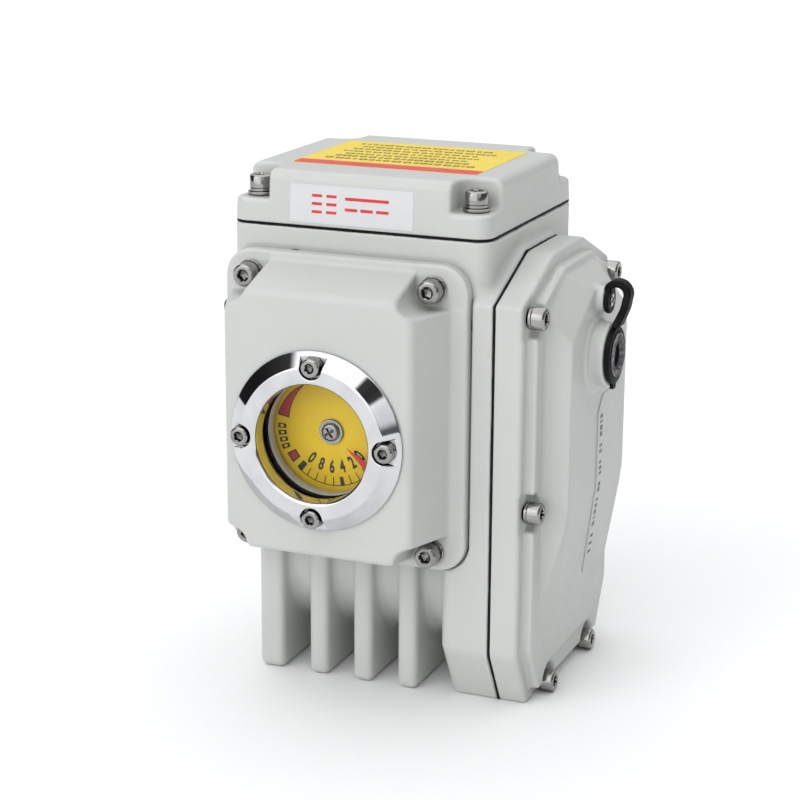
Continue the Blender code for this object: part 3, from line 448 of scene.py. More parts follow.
def gradient(field, corners, step):
    x, y, z = corners.T
    slope = [(field(x + dx, y + dy, z + dz) - field(x - dx, y - dy, z - dz)) / (2 * step)
             for dx, dy, dz in np.eye(3) * step]
    return field(x, y, z), np.stack(slope, 1)


def linked(name, data):
    """A new object in the scene."""
    made = bpy.data.objects.new(name, data)
    bpy.context.scene.collection.objects.link(made)
    return made


def grown(name, field, low, high, step, most_triangles):
    """A piece from a field, thinned where it is flat if it has more triangles than most_triangles."""
    corners, faces = surface(field, low, high, step)
    mesh = bpy.data.meshes.new(name)
    mesh.from_pydata((corners * MM + np.array(ORIGIN)).tolist(), [], faces.tolist())
    mesh.update()
    mesh.shade_smooth()
    piece = linked(name, mesh)
    if len(faces) * 2 > most_triangles:
        thin = piece.modifiers.new("thin", "DECIMATE")
        thin.ratio = most_triangles / (len(faces) * 2)
        apply_modifiers(piece)
        piece.data.shade_smooth()
    return piece


def apply_modifiers(piece):
    graph = bpy.context.evaluated_depsgraph_get()
    made = bpy.data.meshes.new_from_object(piece.evaluated_get(graph))
    piece.modifiers.clear()
    piece.data = made


class Shape:
    """Corners and faces of a piece that is being put together."""

    def __init__(self):
        self.corners, self.faces, self.slots = [], [], []

    def add(self, rings, closed=False, slot=0):
        """Joins rings of equally many points. A closed solid joins its last ring to its first, and an
        open one gets a cap on each end."""
        last, count = len(rings) - 1, len(rings[0])
        number = np.arange(len(rings) * count).reshape(-1, count) + len(self.corners)
        self.corners += [tuple(p) for ring in rings for p in ring]
        pairs = [(i, i + 1) for i in range(last)] + [(last, 0)] * closed
        faces = [(number[a, i], number[a, (i + 1) % count], number[b, (i + 1) % count], number[b, i])
                 for a, b in pairs for i in range(count)]
        if not closed:
            faces += [tuple(number[0]), tuple(number[last])]
        self.faces += faces
        self.slots += [slot] * len(faces)

    def build(self, name, sharp=30.0, matrix=None):
        """sharp is the angle in degrees above which an edge stays hard."""
        mesh = bmesh.new()
        verts = [mesh.verts.new(c) for c in self.corners]
        for face, slot in zip(self.faces, self.slots):
            made = mesh.faces.new([verts[i] for i in face])
            made.material_index = slot
        bmesh.ops.recalc_face_normals(mesh, faces=mesh.faces)
        data = bpy.data.meshes.new(name)
        mesh.to_mesh(data)
        mesh.free()
        if matrix is not None:
            data.transform(matrix)
        data.transform(Matrix.Translation(ORIGIN) @ Matrix.Scale(MM, 4))
        data.shade_smooth()
        data.set_sharp_from_angle(angle=math.radians(sharp))
        return linked(name, data)


def lathe(shape, profile, count=48, closed=False, slot=0, bumps=None):
    """Adds a turned solid about Z. profile lists (radius, z); a third value "hex" makes that station a
    hexagon whose half width across its flats is the radius, and bumps is a radius factor by angle."""
    rings = []
    for radius, level, *kind in profile:
        ring = []
        for turn in 360.0 * np.arange(count) / count:
            factor = 1.0
            if kind == ["hex"]:
                factor = 1 / math.cos(math.radians(turn % 60 - 30))
            elif kind == ["bumps"]:
                factor = bumps(math.radians(turn))
            ring.append((*polar(radius * factor, turn), level))
        rings.append(ring)
    shape.add(rings, closed=closed, slot=slot)


def rounded_profile(points, radius=0.3, steps=3):
    """Rounds the corners of an open profile of (radius, z) stations; special stations are kept."""
    result = [points[0]]
    for before, here, after in zip(points, points[1:], points[2:]):
        if len(before) + len(here) + len(after) > 6:
            result.append(here)
            continue
        p, a, b = Vector(here), Vector(before) - Vector(here), Vector(after) - Vector(here)
        if a.length < 1e-6 or b.length < 1e-6 or abs(a.normalized().cross(b.normalized())) < 0.05:
            result.append(here)
            continue
        trim = min(radius, a.length * 0.45, b.length * 0.45)
        start, stop = p + a.normalized() * trim, p + b.normalized() * trim
        for i in range(steps + 1):
            t = i / steps
            spot = start * (1 - t) ** 2 + p * (2 * t * (1 - t)) + stop * t ** 2
            result.append((spot.x, spot.y))
    result.append(points[-1])
    return result


def facing(direction, centre, seat, roll=0.0):
    """Turns +Z to a direction of the design frame, at a centre across it and seat along it."""
    axis = direction[-1]
    matrix = Matrix.Translation(across(axis, *centre, seat))
    if axis != "z":
        angle = -math.pi / 2 if direction == "-x" else math.pi / 2
        matrix @= Matrix.Rotation(angle, 4, "Y" if axis == "x" else "X")
    return matrix @ Matrix.Rotation(roll, 4, "Z")


def across(axis, a, b, along):
    return {"x": (along, a, b), "y": (a, along, b), "z": (a, b, along)}[axis]


# ---- materials

class Nodes:
    """Short ways to lay out the nodes of a material or the world."""

    def __init__(self, owner):
        owner.use_nodes = True
        self.owner, self.tree = owner, owner.node_tree

    def feed(self, node, **values):
        """Sets a node's inputs to numbers or colours, or links them to other sockets."""
        for key, value in values.items():
            socket = node.inputs[key.replace("_", " ")]
            if isinstance(value, bpy.types.NodeSocket):
                self.tree.links.new(value, socket)
            elif socket.type == "RGBA":
                socket.default_value = (*value, 1.0)
            else:
                socket.default_value = value

    def add(self, kind, settings=None, **values):
        node = self.tree.nodes.new("ShaderNode" + kind)
        for key, value in (settings or {}).items():
            setattr(node, key, value)
        self.feed(node, **values)
        return node

    def spread(self, source, low, high, out_low=0.0, out_high=1.0, kind="LINEAR"):
        return self.add("MapRange", {"interpolation_type": kind}, Value=source, From_Min=low, From_Max=high,
                        To_Min=out_low, To_Max=out_high).outputs["Result"]

    def math(self, operation, a, b):
        node = self.add("Math", {"operation": operation})
        for socket, value in zip(node.inputs, (a, b)):
            if isinstance(value, float):
                socket.default_value = value
            else:
                self.tree.links.new(value, socket)
        return node.outputs["Value"]


class Surface(Nodes):
    """The nodes of a material with the Principled shader."""

    def __init__(self, name):
        super().__init__(bpy.data.materials.new(name))
        self.shader = self.tree.nodes["Principled BSDF"]
        self.place = self.add("TexCoord").outputs["Object"]

    def noise(self, scale, detail=4.0, roughness=0.55, stretch=None):
        """Noise of about 1/scale metres; stretch squeezes it along axes."""
        place = self.place
        if stretch:
            place = self.add("Mapping", Scale=stretch, Vector=place).outputs["Vector"]
        return self.add("TexNoise", Scale=scale, Detail=detail, Roughness=roughness, Vector=place).outputs["Fac"]

    def mix(self, share, a, b):
        """A colour from a where share is 0 to b where it is 1."""
        node = self.add("Mix", {"data_type": "RGBA"}, Factor=share)
        for socket, value in zip([s for s in node.inputs if s.type == "RGBA"], (a, b)):
            if isinstance(value, tuple):
                socket.default_value = (*value, 1.0)
            else:
                self.tree.links.new(value, socket)
        return [s for s in node.outputs if s.type == "RGBA"][0]

    def relief(self, height, strength, distance):
        """Bump of that height in metres, on top of any bump already there."""
        node = self.add("Bump", Strength=strength, Distance=distance, Height=height)
        normal = self.shader.inputs["Normal"]
        if normal.is_linked:
            self.feed(node, Normal=normal.links[0].from_socket)
        self.feed(self.shader, Normal=node.outputs["Normal"])

    def edge_sharpness(self, low, high, out_low, out_high):
        """A share by how far an edge stands out."""
        return self.spread(self.add("NewGeometry").outputs["Pointiness"], low, high, out_low, out_high)

    def sheltered(self, reach, low, high, most):
        """A share by how enclosed a place is, within reach metres, used to paint shade into recesses."""
        shelter = self.add("AmbientOcclusion", {"samples": 8}, Distance=reach)
        return self.spread(shelter.outputs["AO"], low, high, most, 0.0)

    def set(self, **values):
        self.feed(self.shader, **values)


def paint():
    n = Surface("off_white_paint")
    colour = n.mix(n.spread(n.noise(14, 3), 0.35, 0.65), (0.505, 0.518, 0.500), (0.528, 0.538, 0.521))
    fleck = n.spread(n.noise(2600, 2), 0.30, 0.36, 1.0, 0.0)
    colour = n.mix(n.math("MULTIPLY", fleck, 0.22), colour, (0.42, 0.43, 0.41))
    colour = n.mix(n.edge_sharpness(0.52, 0.60, 0.0, 0.35), colour, (0.78, 0.79, 0.77))
    # Creases darker, in noisy patches: painted shade.
    hollow = n.math("MULTIPLY", n.edge_sharpness(0.42, 0.485, 0.30, 0.0), n.spread(n.noise(60), 0.3, 0.6))
    colour = n.mix(hollow, colour, (0.44, 0.45, 0.42))
    # Darker and greener where the surface is enclosed, between fins and in recesses: painted shade.
    colour = n.mix(n.sheltered(0.035, 0.25, 0.85, 0.08), colour, (0.33, 0.40, 0.32))
    n.set(Base_Color=colour, Roughness=n.spread(n.noise(220, 5), 0.3, 0.7, 0.34, 0.46), Specular_IOR_Level=0.45)
    n.relief(n.noise(520, 3), 0.16, 0.0004)
    n.relief(n.noise(1900, 2), 0.10, 0.00012)
    return n.owner


def metal(name, colour, dark, rough, grain, stretch=None, wear=0.0, bump=0.06, recess_shade=0.0):
    """Bare metal with a fine grain, a little staining, brighter edges and painted shade in its recesses."""
    n = Surface(name)
    shade = n.mix(n.spread(n.noise(90, 5, 0.6), 0.42, 0.72), colour, dark)
    if wear:
        shade = n.mix(n.edge_sharpness(0.5, 0.6, 0.0, wear), shade, tuple(min(1, c * 1.25) for c in colour))
    # Darker where the surface is enclosed, as in screw sockets: painted shade.
    if recess_shade:
        shade = n.mix(n.sheltered(0.003, 0.30, 0.90, recess_shade), shade, (0.02, 0.02, 0.02))
    scratch = n.noise(grain, 4, 0.6, stretch)
    n.set(Base_Color=shade, Metallic=1.0, Roughness=n.spread(scratch, 0.3, 0.7, *rough))
    n.relief(scratch, bump, 0.00005)
    return n.owner


def coated(name, colour, second, rough, scale, bump=0.15, depth=0.00008, specular=0.4):
    """Rubber, plastic, lacquer or print: a mottled colour with a fine surface grain."""
    n = Surface(name)
    shade = n.mix(n.spread(n.noise(scale * 0.12, 4), 0.35, 0.65), colour, second)
    n.set(Base_Color=shade, Roughness=n.spread(n.noise(scale * 0.5, 4), 0.3, 0.7, *rough),
          Specular_IOR_Level=specular)
    n.relief(n.noise(scale, 3), bump, depth)
    return n.owner


def glass():
    """A thin clear pane: what is behind it shows through, and it mirrors the room."""
    n = Surface("window_glass")
    n.tree.nodes.remove(n.shader)
    smear = n.spread(n.noise(60, 4), 0.45, 0.75, 0.015, 0.05)
    both = n.add("MixShader", Fac=n.add("Fresnel", IOR=1.22).outputs["Fac"])
    n.tree.links.new(n.add("BsdfTransparent").outputs["BSDF"], both.inputs[1])
    n.tree.links.new(n.add("BsdfGlossy", Roughness=smear).outputs["BSDF"], both.inputs[2])
    n.feed(n.tree.nodes["Material Output"], Surface=both.outputs["Shader"])
    return n.owner


# Each look: its colour and its darker or second colour, its roughness range, then grain, bump and so on; a metal's
# eighth value, where given, is how much shade is painted into its sockets and recesses
METALS = {
    "stainless": ((0.33, 0.325, 0.315), (0.15, 0.147, 0.142), (0.08, 0.16), 2500, None, 0.9, 0.06, 0.95),
    "chrome": ((0.66, 0.665, 0.68), (0.58, 0.585, 0.60), (0.03, 0.07), 1500, None, 0.0, 0.01, 0.5),
    "steel": ((0.50, 0.49, 0.47), (0.36, 0.35, 0.33), (0.28, 0.42), 3000, (1, 0.05, 1), 0.3),
    "zinc": ((0.60, 0.60, 0.62), (0.48, 0.48, 0.47), (0.30, 0.46), 800),
    "bronze": ((0.66, 0.42, 0.17), (0.42, 0.24, 0.09), (0.26, 0.42), 2500, None, 0.3),
    "brass": ((0.74, 0.58, 0.28), (0.55, 0.42, 0.18), (0.2, 0.35), 2500),
}
COATINGS = {
    "rubber": ((0.005, 0.005, 0.0055), (0.010, 0.010, 0.010), (0.42, 0.6), 1400, 0.25, 0.00008, 0.08),
    "grey_rubber": ((0.045, 0.045, 0.05), (0.34, 0.34, 0.35), (0.4, 0.7), 4200, 0.9, 0.0004),
    "black_plastic": ((0.02, 0.02, 0.021), (0.035, 0.035, 0.035), (0.38, 0.55), 1200),
    "board": ((0.02, 0.12, 0.05), (0.03, 0.17, 0.07), (0.3, 0.45), 700),
    "dial": ((0.78, 0.53, 0.008), (0.83, 0.57, 0.010), (0.35, 0.5), 700, 0.05),
    "ink": ((0.018, 0.018, 0.02), (0.03, 0.03, 0.03), (0.45, 0.6), 2500, 0.1),
    "red_ink": ((0.42, 0.035, 0.045), (0.50, 0.05, 0.05), (0.4, 0.55), 1500, 0.1),
    "red": ((0.60, 0.025, 0.035), (0.68, 0.04, 0.045), (0.35, 0.5), 1200, 0.1),
    "label_yellow": ((0.80, 0.60, 0.025), (0.86, 0.66, 0.04), (0.3, 0.42), 500, 0.06),
    "label_red": ((0.62, 0.03, 0.04), (0.70, 0.05, 0.05), (0.3, 0.42), 500, 0.06),
    "label_white": ((0.60, 0.61, 0.62), (0.62, 0.63, 0.64), (0.28, 0.4), 400, 0.06),
    "label_film": ((0.515, 0.528, 0.51), (0.535, 0.545, 0.53), (0.36, 0.44), 400, 0.05),
}
MATERIALS = {"paint": paint(), "glass": glass()}
MATERIALS.update((name, metal(name, *look)) for name, look in METALS.items())
MATERIALS.update((name, coated(name, *look)) for name, look in COATINGS.items())


def dress(piece, looks):
    """Gives a piece its materials, in the order of its slots."""
    if piece.data.materials:
        piece.data.materials.clear()
    for look in looks.split():
        piece.data.materials.append(MATERIALS[look])


def seat(piece, looks, body, slot=None, node=None):
    """Gives a piece its materials and its body, and hides the CAD node it stands for. slot, the name of its finish, is
    not used.
    """
    dress(piece, looks)
    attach(piece, body)
    if node:
        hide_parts(node)


# ---- castings

MARGIN = 2.3
# Each casting: its field, the node it stands for, its grid step in millimetres and its most triangles
CASTINGS = (
    ("housing_casting", housing_field, "housing", 1.15, 196000),
    ("lid_casting", lid_field, "terminal_lid", 0.9, 150000),
    ("dial_cover_casting", dial_cover_field, "dial_cover", 0.8, 170000),
    ("gear_cover_casting", gear_cover_field, "gear_cover", 0.85, 190000),
)
for name, field, node, step, most in CASTINGS:
    low, high = edges(node)
    casting = grown(name, field, [v - MARGIN for v in low], [v + MARGIN for v in high], step, most)
    seat(casting, "paint", "housing", "off_white_paint", node)
ring = grown("polished_window_ring", ring_field, (-42.5, -40.8, -42.5), (42.5, -29.2, 42.5), 0.42, 190000)
seat(ring, "chrome", "housing", "polished_ring", "window_ring")


# ---- screws

SEAT_GAP = 0.3


def flat_washer(shape, bore, outer, low, high, bottom=(0.2, 0.2), top=0.2):
    lathe(shape, [(bore, low), (outer - bottom[0], low), (outer, low + bottom[1]), (outer, high - top),
                  (outer - top, high), (bore, high)], 48, closed=True)


def split_washer(shape, inner, outer, level, thickness):
    """One turn of square wire with a slanted gap, sprung open a little."""
    rings, count, gap, slant = [], 44, math.radians(9), 0.16
    for i in range(count + 1):
        turn = gap / 2 + (2 * math.pi - gap) * i / count
        lift = 0.11 * (i / count - 0.5)
        section = [(inner, 0.12), (outer - 0.15, 0.12), (outer, 0.3), (outer, thickness - 0.3),
                   (outer - 0.15, thickness - 0.1), (inner, thickness - 0.1)]
        rings.append([(r * math.cos(turn + slant * z / thickness), r * math.sin(turn + slant * z / thickness),
                       level + z + lift) for r, z in section])
    shape.add(rings)


def socket_screw(name, node, matrix, head_radius, head_height, socket_half, shank, washers):
    """A socket head cap screw. matrix turns +Z out of the part with z = 0 on the seat. washers are
    ("spring" or "flat", radius, thickness) from the seat up."""
    shape, level = Shape(), SEAT_GAP
    for kind, radius, thickness in washers:
        if kind == "flat":
            flat_washer(shape, 3.2, radius, level, level + thickness, (0.25, 0.2), 0.25)
        else:
            split_washer(shape, 3.3, radius, level, thickness)
        level += thickness
    top = level + head_height
    floor = top - head_height * 0.55
    chamfer = head_radius * 0.13
    lathe(shape, [(socket_half * 0.25, floor - 0.9), (socket_half * 0.96, floor, "hex"),
                  (socket_half, floor + 0.1, "hex"), (socket_half, top - 0.45, "hex"), (socket_half * 1.17, top - 0.02),
                  (socket_half * 1.24, top), (head_radius - chamfer - 0.25, top), (head_radius - chamfer, top - 0.08),
                  (head_radius - 0.12, top - chamfer * 0.9), (head_radius, top - chamfer * 1.3),
                  (head_radius, level + 0.35), (head_radius - 0.25, level + 0.05), (shank, level + 0.05),
                  (shank, -12.0)], 60)
    seat(shape.build(name, 32, matrix), "stainless", "housing", "stainless_screws", node)


FLAT, SPRING, THIN = ("flat", 6.0, 1.5), ("spring", 5.0, 1.5), ("flat", 4.6, 0.6)
LARGE, SMALL = (5.1, 6.0, 2.5, 2.9), (4.25, 4.4, 2.0, 2.4)
SCREWS = (
    ("lid", LID_SCREWS, "z", LID_SEAT, LARGE, (FLAT, SPRING)),
    ("cover", COVER_SCREWS, "-y", COVER_SEAT, LARGE, (FLAT, SPRING)),
    ("gear", GEAR_SCREWS, "x", GEAR_LIP, LARGE, (SPRING,)),
    ("ring", RING_SPOTS, "-y", RING_SEAT, SMALL, (THIN,)),
)
made = 0
for kind, spots, way, level, size, stack in SCREWS:
    for i, spot in enumerate(spots):
        # A fixed spread of angles, so that no two sockets line up
        roll = math.radians((made * 137.5) % 60)
        socket_screw(f"{kind}_cap_screw_{i + 1}", f"{kind}_screw_{i + 1}", facing(way, spot, level, roll),
                     *size, stack)
        made += 1


def circle(radius, level, count=96):
    return [(*polar(radius, 360 * i / count), level) for i in range(count)]


def cross_screw(name, node, matrix, radius, height, washer, body, shank, length):
    """A pan head screw with a cross recess, on a flat washer of (radius, thickness)."""
    shape, level = Shape(), SEAT_GAP
    if washer:
        flat_washer(shape, shank + 0.2, washer[0], level, level + washer[1], (0.15, 0.15))
        level += washer[1]
    reach, half = radius * 0.62, radius * 0.15

    def cross(scale, shrink, at):
        ring = []
        for i in range(96):
            turn = 2 * math.pi * i / 96
            local = (turn + math.pi / 4) % (math.pi / 2) - math.pi / 4
            limit = shrink * min(reach * scale / max(math.cos(local), 0.2),
                                 half * scale ** 0.5 / max(abs(math.sin(local)), 1e-3))
            ring.append((limit * math.cos(turn), limit * math.sin(turn), at))
        return ring

    top = level + height
    rings = [cross(0.7, 0.3, top - height * 0.62), cross(0.8, 1.0, top - height * 0.45),
             cross(1.0, 1.0, top + 0.02 - height * 0.03)]
    for share in (0.70, 0.80, 0.88, 0.94, 0.98, 1.0):
        drop = height * 0.55 * (1 - math.sqrt(max(0.0, 1 - ((share - 0.55) / 0.45) ** 2)))
        rings.append(circle(radius * share, top - drop))
    rings += [circle(radius, level + 0.2), circle(radius - 0.15, level + 0.04), circle(shank, level + 0.04),
              circle(shank, -length)]
    shape.add(rings)
    seat(shape.build(name, 28, matrix), "stainless", body, "stainless_screws", node)


EARTH_STACK = 2.9
cross_screw("dial_pan_screw", "dial_screw", facing("-y", (0, 0), DIAL_FRONT - 0.1, 0.6), 4.1, 1.9, (5.8, 0.9),
            "output", 2.4, 8.0)
cross_screw("strap_pan_screw", "strap_screw", facing("x", STUD, GEAR_FACE + 4.0, 0.4), 3.4, 2.0,
            None, "housing", 1.5, 5.0)
cross_screw("earth_pan_screw", "earth_screw", facing("-x", EARTH, WALL_LEFT - EARTH_STACK, 0.3), 3.6, 2.6,
            (5.0, 1.2), "housing", 2.4, 5.0 + EARTH_STACK)
washers = Shape()
for low, high, outer in ((0.3, 1.5, 5.2), (1.65, 3.1, 4.3)):
    flat_washer(washers, 2.7, outer, low, high)
seat(washers.build("earth_washers", 32, facing("-x", EARTH, WALL_LEFT)), "stainless", "housing",
     "stainless_screws")


# ---- dial, pointer and glass

INK = 0.05
FORWARDS = facing("-y", (0, 0), 0)


def sector(inner, outer, start, stop, steps=6):
    """A piece of a ring in (x, z), angles anticlockwise from +X, in degrees."""
    turns = [start + (stop - start) * i / steps for i in range(steps + 1)]
    return [polar(outer, turn) for turn in turns] + [polar(inner, turn) for turn in turns[::-1]]


dial, marks = Shape(), Shape()
lathe(dial, rounded_profile([(2.8, -DIAL_BACK), (DIAL_RADIUS, -DIAL_BACK), (DIAL_RADIUS, -DIAL_FRONT),
                             (2.8, -DIAL_FRONT)]), 128, closed=True)
seat(dial.build("dial_plate", matrix=FORWARDS), "dial", "output", "yellow_dial", "position_dial")


def mark(outline, layer=0, slot=0):
    """A printed mark on the dial: an outline in (x, z), raised a hair towards the front."""
    level = DIAL_FRONT - 0.01 - INK * layer
    marks.add([[(x, y, z) for x, z in outline] for y in (level, level - INK)], slot=slot)


SCALE_INNER, SCALE_OUTER = 20.9, 25.2
FULL_ANGLE, TICK_STEP = -129.5, 10.35
mark(sector(SCALE_OUTER - 0.2, SCALE_OUTER + 0.2, FULL_ANGLE, -24, 48))
mark(sector(SCALE_INNER - 0.3, SCALE_OUTER, FULL_ANGLE - 3.4, FULL_ANGLE + 3.4, 4))
for i in range(1, 11):
    angle = FULL_ANGLE + TICK_STEP * i
    thick = 2.3 if i == 5 else 0.55
    mark(sector(SCALE_INNER + 0.3, SCALE_OUTER, angle - thick, angle + thick, 2))
# The open end of the scale: a red square, four plain marks, and a red tapered band
mark(sector(20.6, 25.4, -150.2, -138.8))
mark(sector(21.3, 24.7, -148.5, -140.5), 1, 1)
for i in range(4):
    centre = -157.6 - 7.4 * i
    mark(sector(22.5, 26.5, centre - 2.6, centre + 2.6, 4))
    mark(sector(23.7, 25.3, centre - 1.3, centre + 1.3, 4), 1, 2)
for layer, width, start, stop in ((0, 2.9, 169.5, 124.0), (1, 2.35, 168.0, 127.0)):
    rims = [[], []]
    for i in range(25):
        half = width * (1 - i / 24) ** 0.8 + 0.05
        for rim, sign in zip(rims, (1, -1)):
            rim.append(polar(24.2 + sign * half, start + (stop - start) * i / 24))
    mark(rims[0] + rims[1][::-1], layer, layer)
seat(marks.build("dial_marks"), "ink red_ink dial", "output", "yellow_dial")

FIGURE_RADIUS, FIGURE_SIZE, FIGURE_WIDTH = 16.8, 8.0, 0.62
for i, text in enumerate("086420"):
    angle = -126.0 + 18.0 * i
    x, z = polar(FIGURE_RADIUS, angle)
    name = f"dial_figure_{i + 1}"
    curve = bpy.data.curves.new(name, "FONT")
    curve.body = text
    curve.size = FIGURE_SIZE
    curve.align_x = curve.align_y = "CENTER"
    curve.extrude = INK / 2
    curve.offset = 0.29
    curve.resolution_u = 6
    written = linked(name, curve)
    bpy.context.view_layer.update()
    mesh = bpy.data.meshes.new_from_object(written.evaluated_get(bpy.context.evaluated_depsgraph_get()))
    bpy.data.objects.remove(written)
    mesh.transform(Matrix.Translation(ORIGIN) @ Matrix.Scale(MM, 4) @ Matrix.Translation((x, DIAL_FRONT - 0.03, z))
                   @ Matrix.Rotation(-math.radians(angle + 90), 4, "Y") @ Matrix.Rotation(math.pi / 2, 4, "X")
                   @ Matrix.Diagonal((FIGURE_WIDTH, 1, 1, 1)))
    seat(linked(name, mesh), "ink", "output", "yellow_dial")

pointer = Shape()
POINTER_FRONT, POINTER_BACK, POINTER_FOOT = -19.1, -18.6, -24.2
along, aside = Vector(polar(1, -37.5)), Vector(polar(1, 52.5))
blade = [along * a + aside * b for a, b in ((10.6, 0), (26.6, 2.2), (26.6, -2.2))]
foot = [along * a + aside * b for a, b in ((25.4, 1.9), (26.6, 2.1), (26.6, -2.1), (25.4, -1.9))]
for outline, back, front in ((blade, POINTER_BACK, POINTER_FRONT), (foot, POINTER_FRONT, POINTER_FOOT)):
    pointer.add([[(p.x, y, p.y) for p in outline] for y in (back, front)])
seat(pointer.build("fixed_pointer"), "red", "housing")

pane, seal = Shape(), Shape()
PANE_RADIUS = GLASS_RADIUS - 0.3
lathe(pane, rounded_profile([(0.01, 30.0), (PANE_RADIUS, 30.0), (PANE_RADIUS, 26.4), (0.01, 26.4)], 0.4), 96)
seat(pane.build("window_pane", matrix=FORWARDS), "glass", "housing", "window_glass", "window_glass")
lathe(seal, [(28.5 + 1.25 * math.cos(a), 25.2 - 0.88 * math.sin(a)) for a in np.linspace(0, 2 * math.pi, 14)[:-1]],
      96, closed=True)
seat(seal.build("window_o_ring", 60, FORWARDS), "rubber", "housing", "black_rubber", "window_seal")


# ---- rubber cap and strap

cap = Shape()
INNER_END = GEAR_FACE - PORT_END
lathe(cap, [(0.05, INNER_END - 2.4), (5.8, INNER_END - 2.4), (7.4, INNER_END - 1.4), (8.0, INNER_END), (8.0, 0.3),
            (PLUG_RADIUS - 0.4, 0.3), (PLUG_RADIUS, 0.7), (PLUG_RADIUS, 2.1), (PLUG_RADIUS - 0.5, 2.7),
            (PLUG_RADIUS - 1.2, 2.85), (11.2, 2.8), (10.7, 3.0), (10.5, 3.2), (10.3, 2.3), (6.4, 1.7), (5.9, 0.9),
            (3.6, 0.8), (3.2, 1.3), (0.05, 1.4)], 96)
grooves = [(9.3 - 0.45 * i - side, level) for i in range(6) for side, level in ((0, 3.35), (0.22, 3.65))]
lathe(cap, [(10.25, 2.0), (10.15, 3.4), (9.6, 3.65), *grooves, (6.7, 3.5), (6.5, 1.8)], 96, closed=True, slot=1)
tab = [(-2.6, -12.4), (2.6, -12.4), (2.4, -15.2), (1.6, -15.8), (-1.6, -15.8), (-2.4, -15.2)]
cap.add([[(-v, u, level) for u, v in tab] for level in (0.4, 1.9)])
seat(cap.build("port_cap", 32, facing("x", PORT, PORT_END)), "rubber grey_rubber", "plug",
     "black_rubber", "port_plug")

strap = grown("cap_strap", strap_field, (GEAR_FACE + 2.5, 44.0, 44.0), (GEAR_FACE + 17.0, 64.5, 66.5), 0.36, 60000)
dress(strap, "rubber")
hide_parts("plug_strap")
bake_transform(strap)


# ---- cable glands, with blanking plugs

def ribbed(turn):
    return 1 + 0.025 * math.cos(18 * turn)


for i, side in enumerate(GLAND_Y):
    shape = Shape()
    lathe(shape, rounded_profile([(8.0, -8.0), (9.7, -8.0), (9.7, 0.35)], 0.2) + [
        (11.7, 0.35, "hex"), (12.0, 0.7, "hex"), (12.0, 5.6, "hex"), (11.6, 6.0, "hex"), (10.0, 6.1), (10.0, 7.4),
        (11.0, 7.5, "bumps"), (11.5, 8.0, "bumps"), (11.5, 14.2, "bumps"), (11.0, 15.0, "bumps"),
        (9.6, 17.6, "bumps"), (8.6, 19.0), (7.9, 19.6), (7.0, 19.8), (6.4, 19.5), (6.2, 18.4), (0.05, 18.4)],
        144, bumps=ribbed)
    lathe(shape, [(0.05, 18.6), (5.9, 18.6), (5.9, 19.5), (5.4, 19.8), (2.0, 19.9), (1.6, 19.6), (0.05, 19.6)], 48,
          slot=1)
    seat(shape.build(f"closed_gland_{i + 1}", 32, facing("-x", (side, GLAND_Z), WALL_LEFT)), "black_plastic rubber",
         "housing", "black_plastic", f"cable_gland_{i + 1}")


# ---- labels

def rounded_outline(left, right, low, high, radius, steps=6):
    points = []
    for cx, cy, start in ((right - radius, high - radius, 0), (left + radius, high - radius, 90),
                          (left + radius, low + radius, 180), (right - radius, low + radius, 270)):
        for i in range(steps + 1):
            a, b = polar(radius, start + 90 * i / steps)
            points.append((cx + a, cy + b))
    return points


def sticker(shape, limits, radius, level, thickness, slot, to_point, steps=2):
    """A thin printed patch: limits are (left, right, low, high), and to_point places (a, b, height)."""
    outline = rounded_outline(*limits, radius, steps)
    shape.add([[to_point(a, b, height) for a, b in outline] for height in (level, level + thickness)], slot=slot)


def on_lid(a, b, height):
    return (a, b, LID_TOP + height)


def on_lid_front(a, b, height):
    return (a, WALL_FRONT + (b - LID_BOTTOM) * LID_DRAFT - height, b)


FILM, PRINT = 0.12, 0.03
LEFT, RIGHT, FRONT, BACK = -38.0, 52.0, 24.0, 93.0
label, front = Shape(), Shape()
sticker(label, (LEFT, RIGHT, FRONT, BACK), 2.0, 0.02, FILM, 0, on_lid, 6)
sticker(label, (LEFT + 0.4, RIGHT - 0.4, FRONT + 0.4, FRONT + 10.5), 1.6, 0.02 + FILM, PRINT, 1, on_lid, 6)
rng = np.random.default_rng(7)
for row in range(7):
    depth = FRONT + 17.0 + row * 7.0
    cursor = LEFT + 9.0 + (row % 3) * 2.0
    height = 3.4 if row < 2 else 2.7
    while cursor < RIGHT - 9.0 - (row * 5 % 11):
        width = rng.uniform(1.6, 4.6)
        sticker(label, (cursor, cursor + width, depth, depth + height), 0.4, 0.02 + FILM, PRINT, 2, on_lid)
        notch = (cursor + width * 0.25, cursor + width * 0.75, depth + height * 0.35, depth + height * 0.65)
        sticker(label, notch, 0.15, 0.05 + FILM, 0.02, 0, on_lid)
        cursor += width + rng.uniform(0.7, 1.5)
seat(label.build("lid_label"), "label_yellow label_red ink", "housing")

sticker(front, (-27.5, 31.5, 90.2, 107.2), 0.6, 0.03, FILM, 0, on_lid_front, 6)
# A direct-current sign, a full bar over three short ones, and then plain blocks
bars = [(-1.0, 20.0, 101.2, 102.6)] + [(left, left + 6.0, 96.4, 97.8) for left in (-1.0, 6.5, 14.0)]
bars += [(left, left + 5.0, low, high) for left in (-17.0, -10.0)
         for low, high in ((94.6, 95.9), (98.2, 99.5), (101.8, 103.1))]
for bar in bars:
    sticker(front, bar, 0.3, 0.03 + FILM, PRINT, 1, on_lid_front)
seat(front.build("lid_front_label"), "label_white red", "housing")


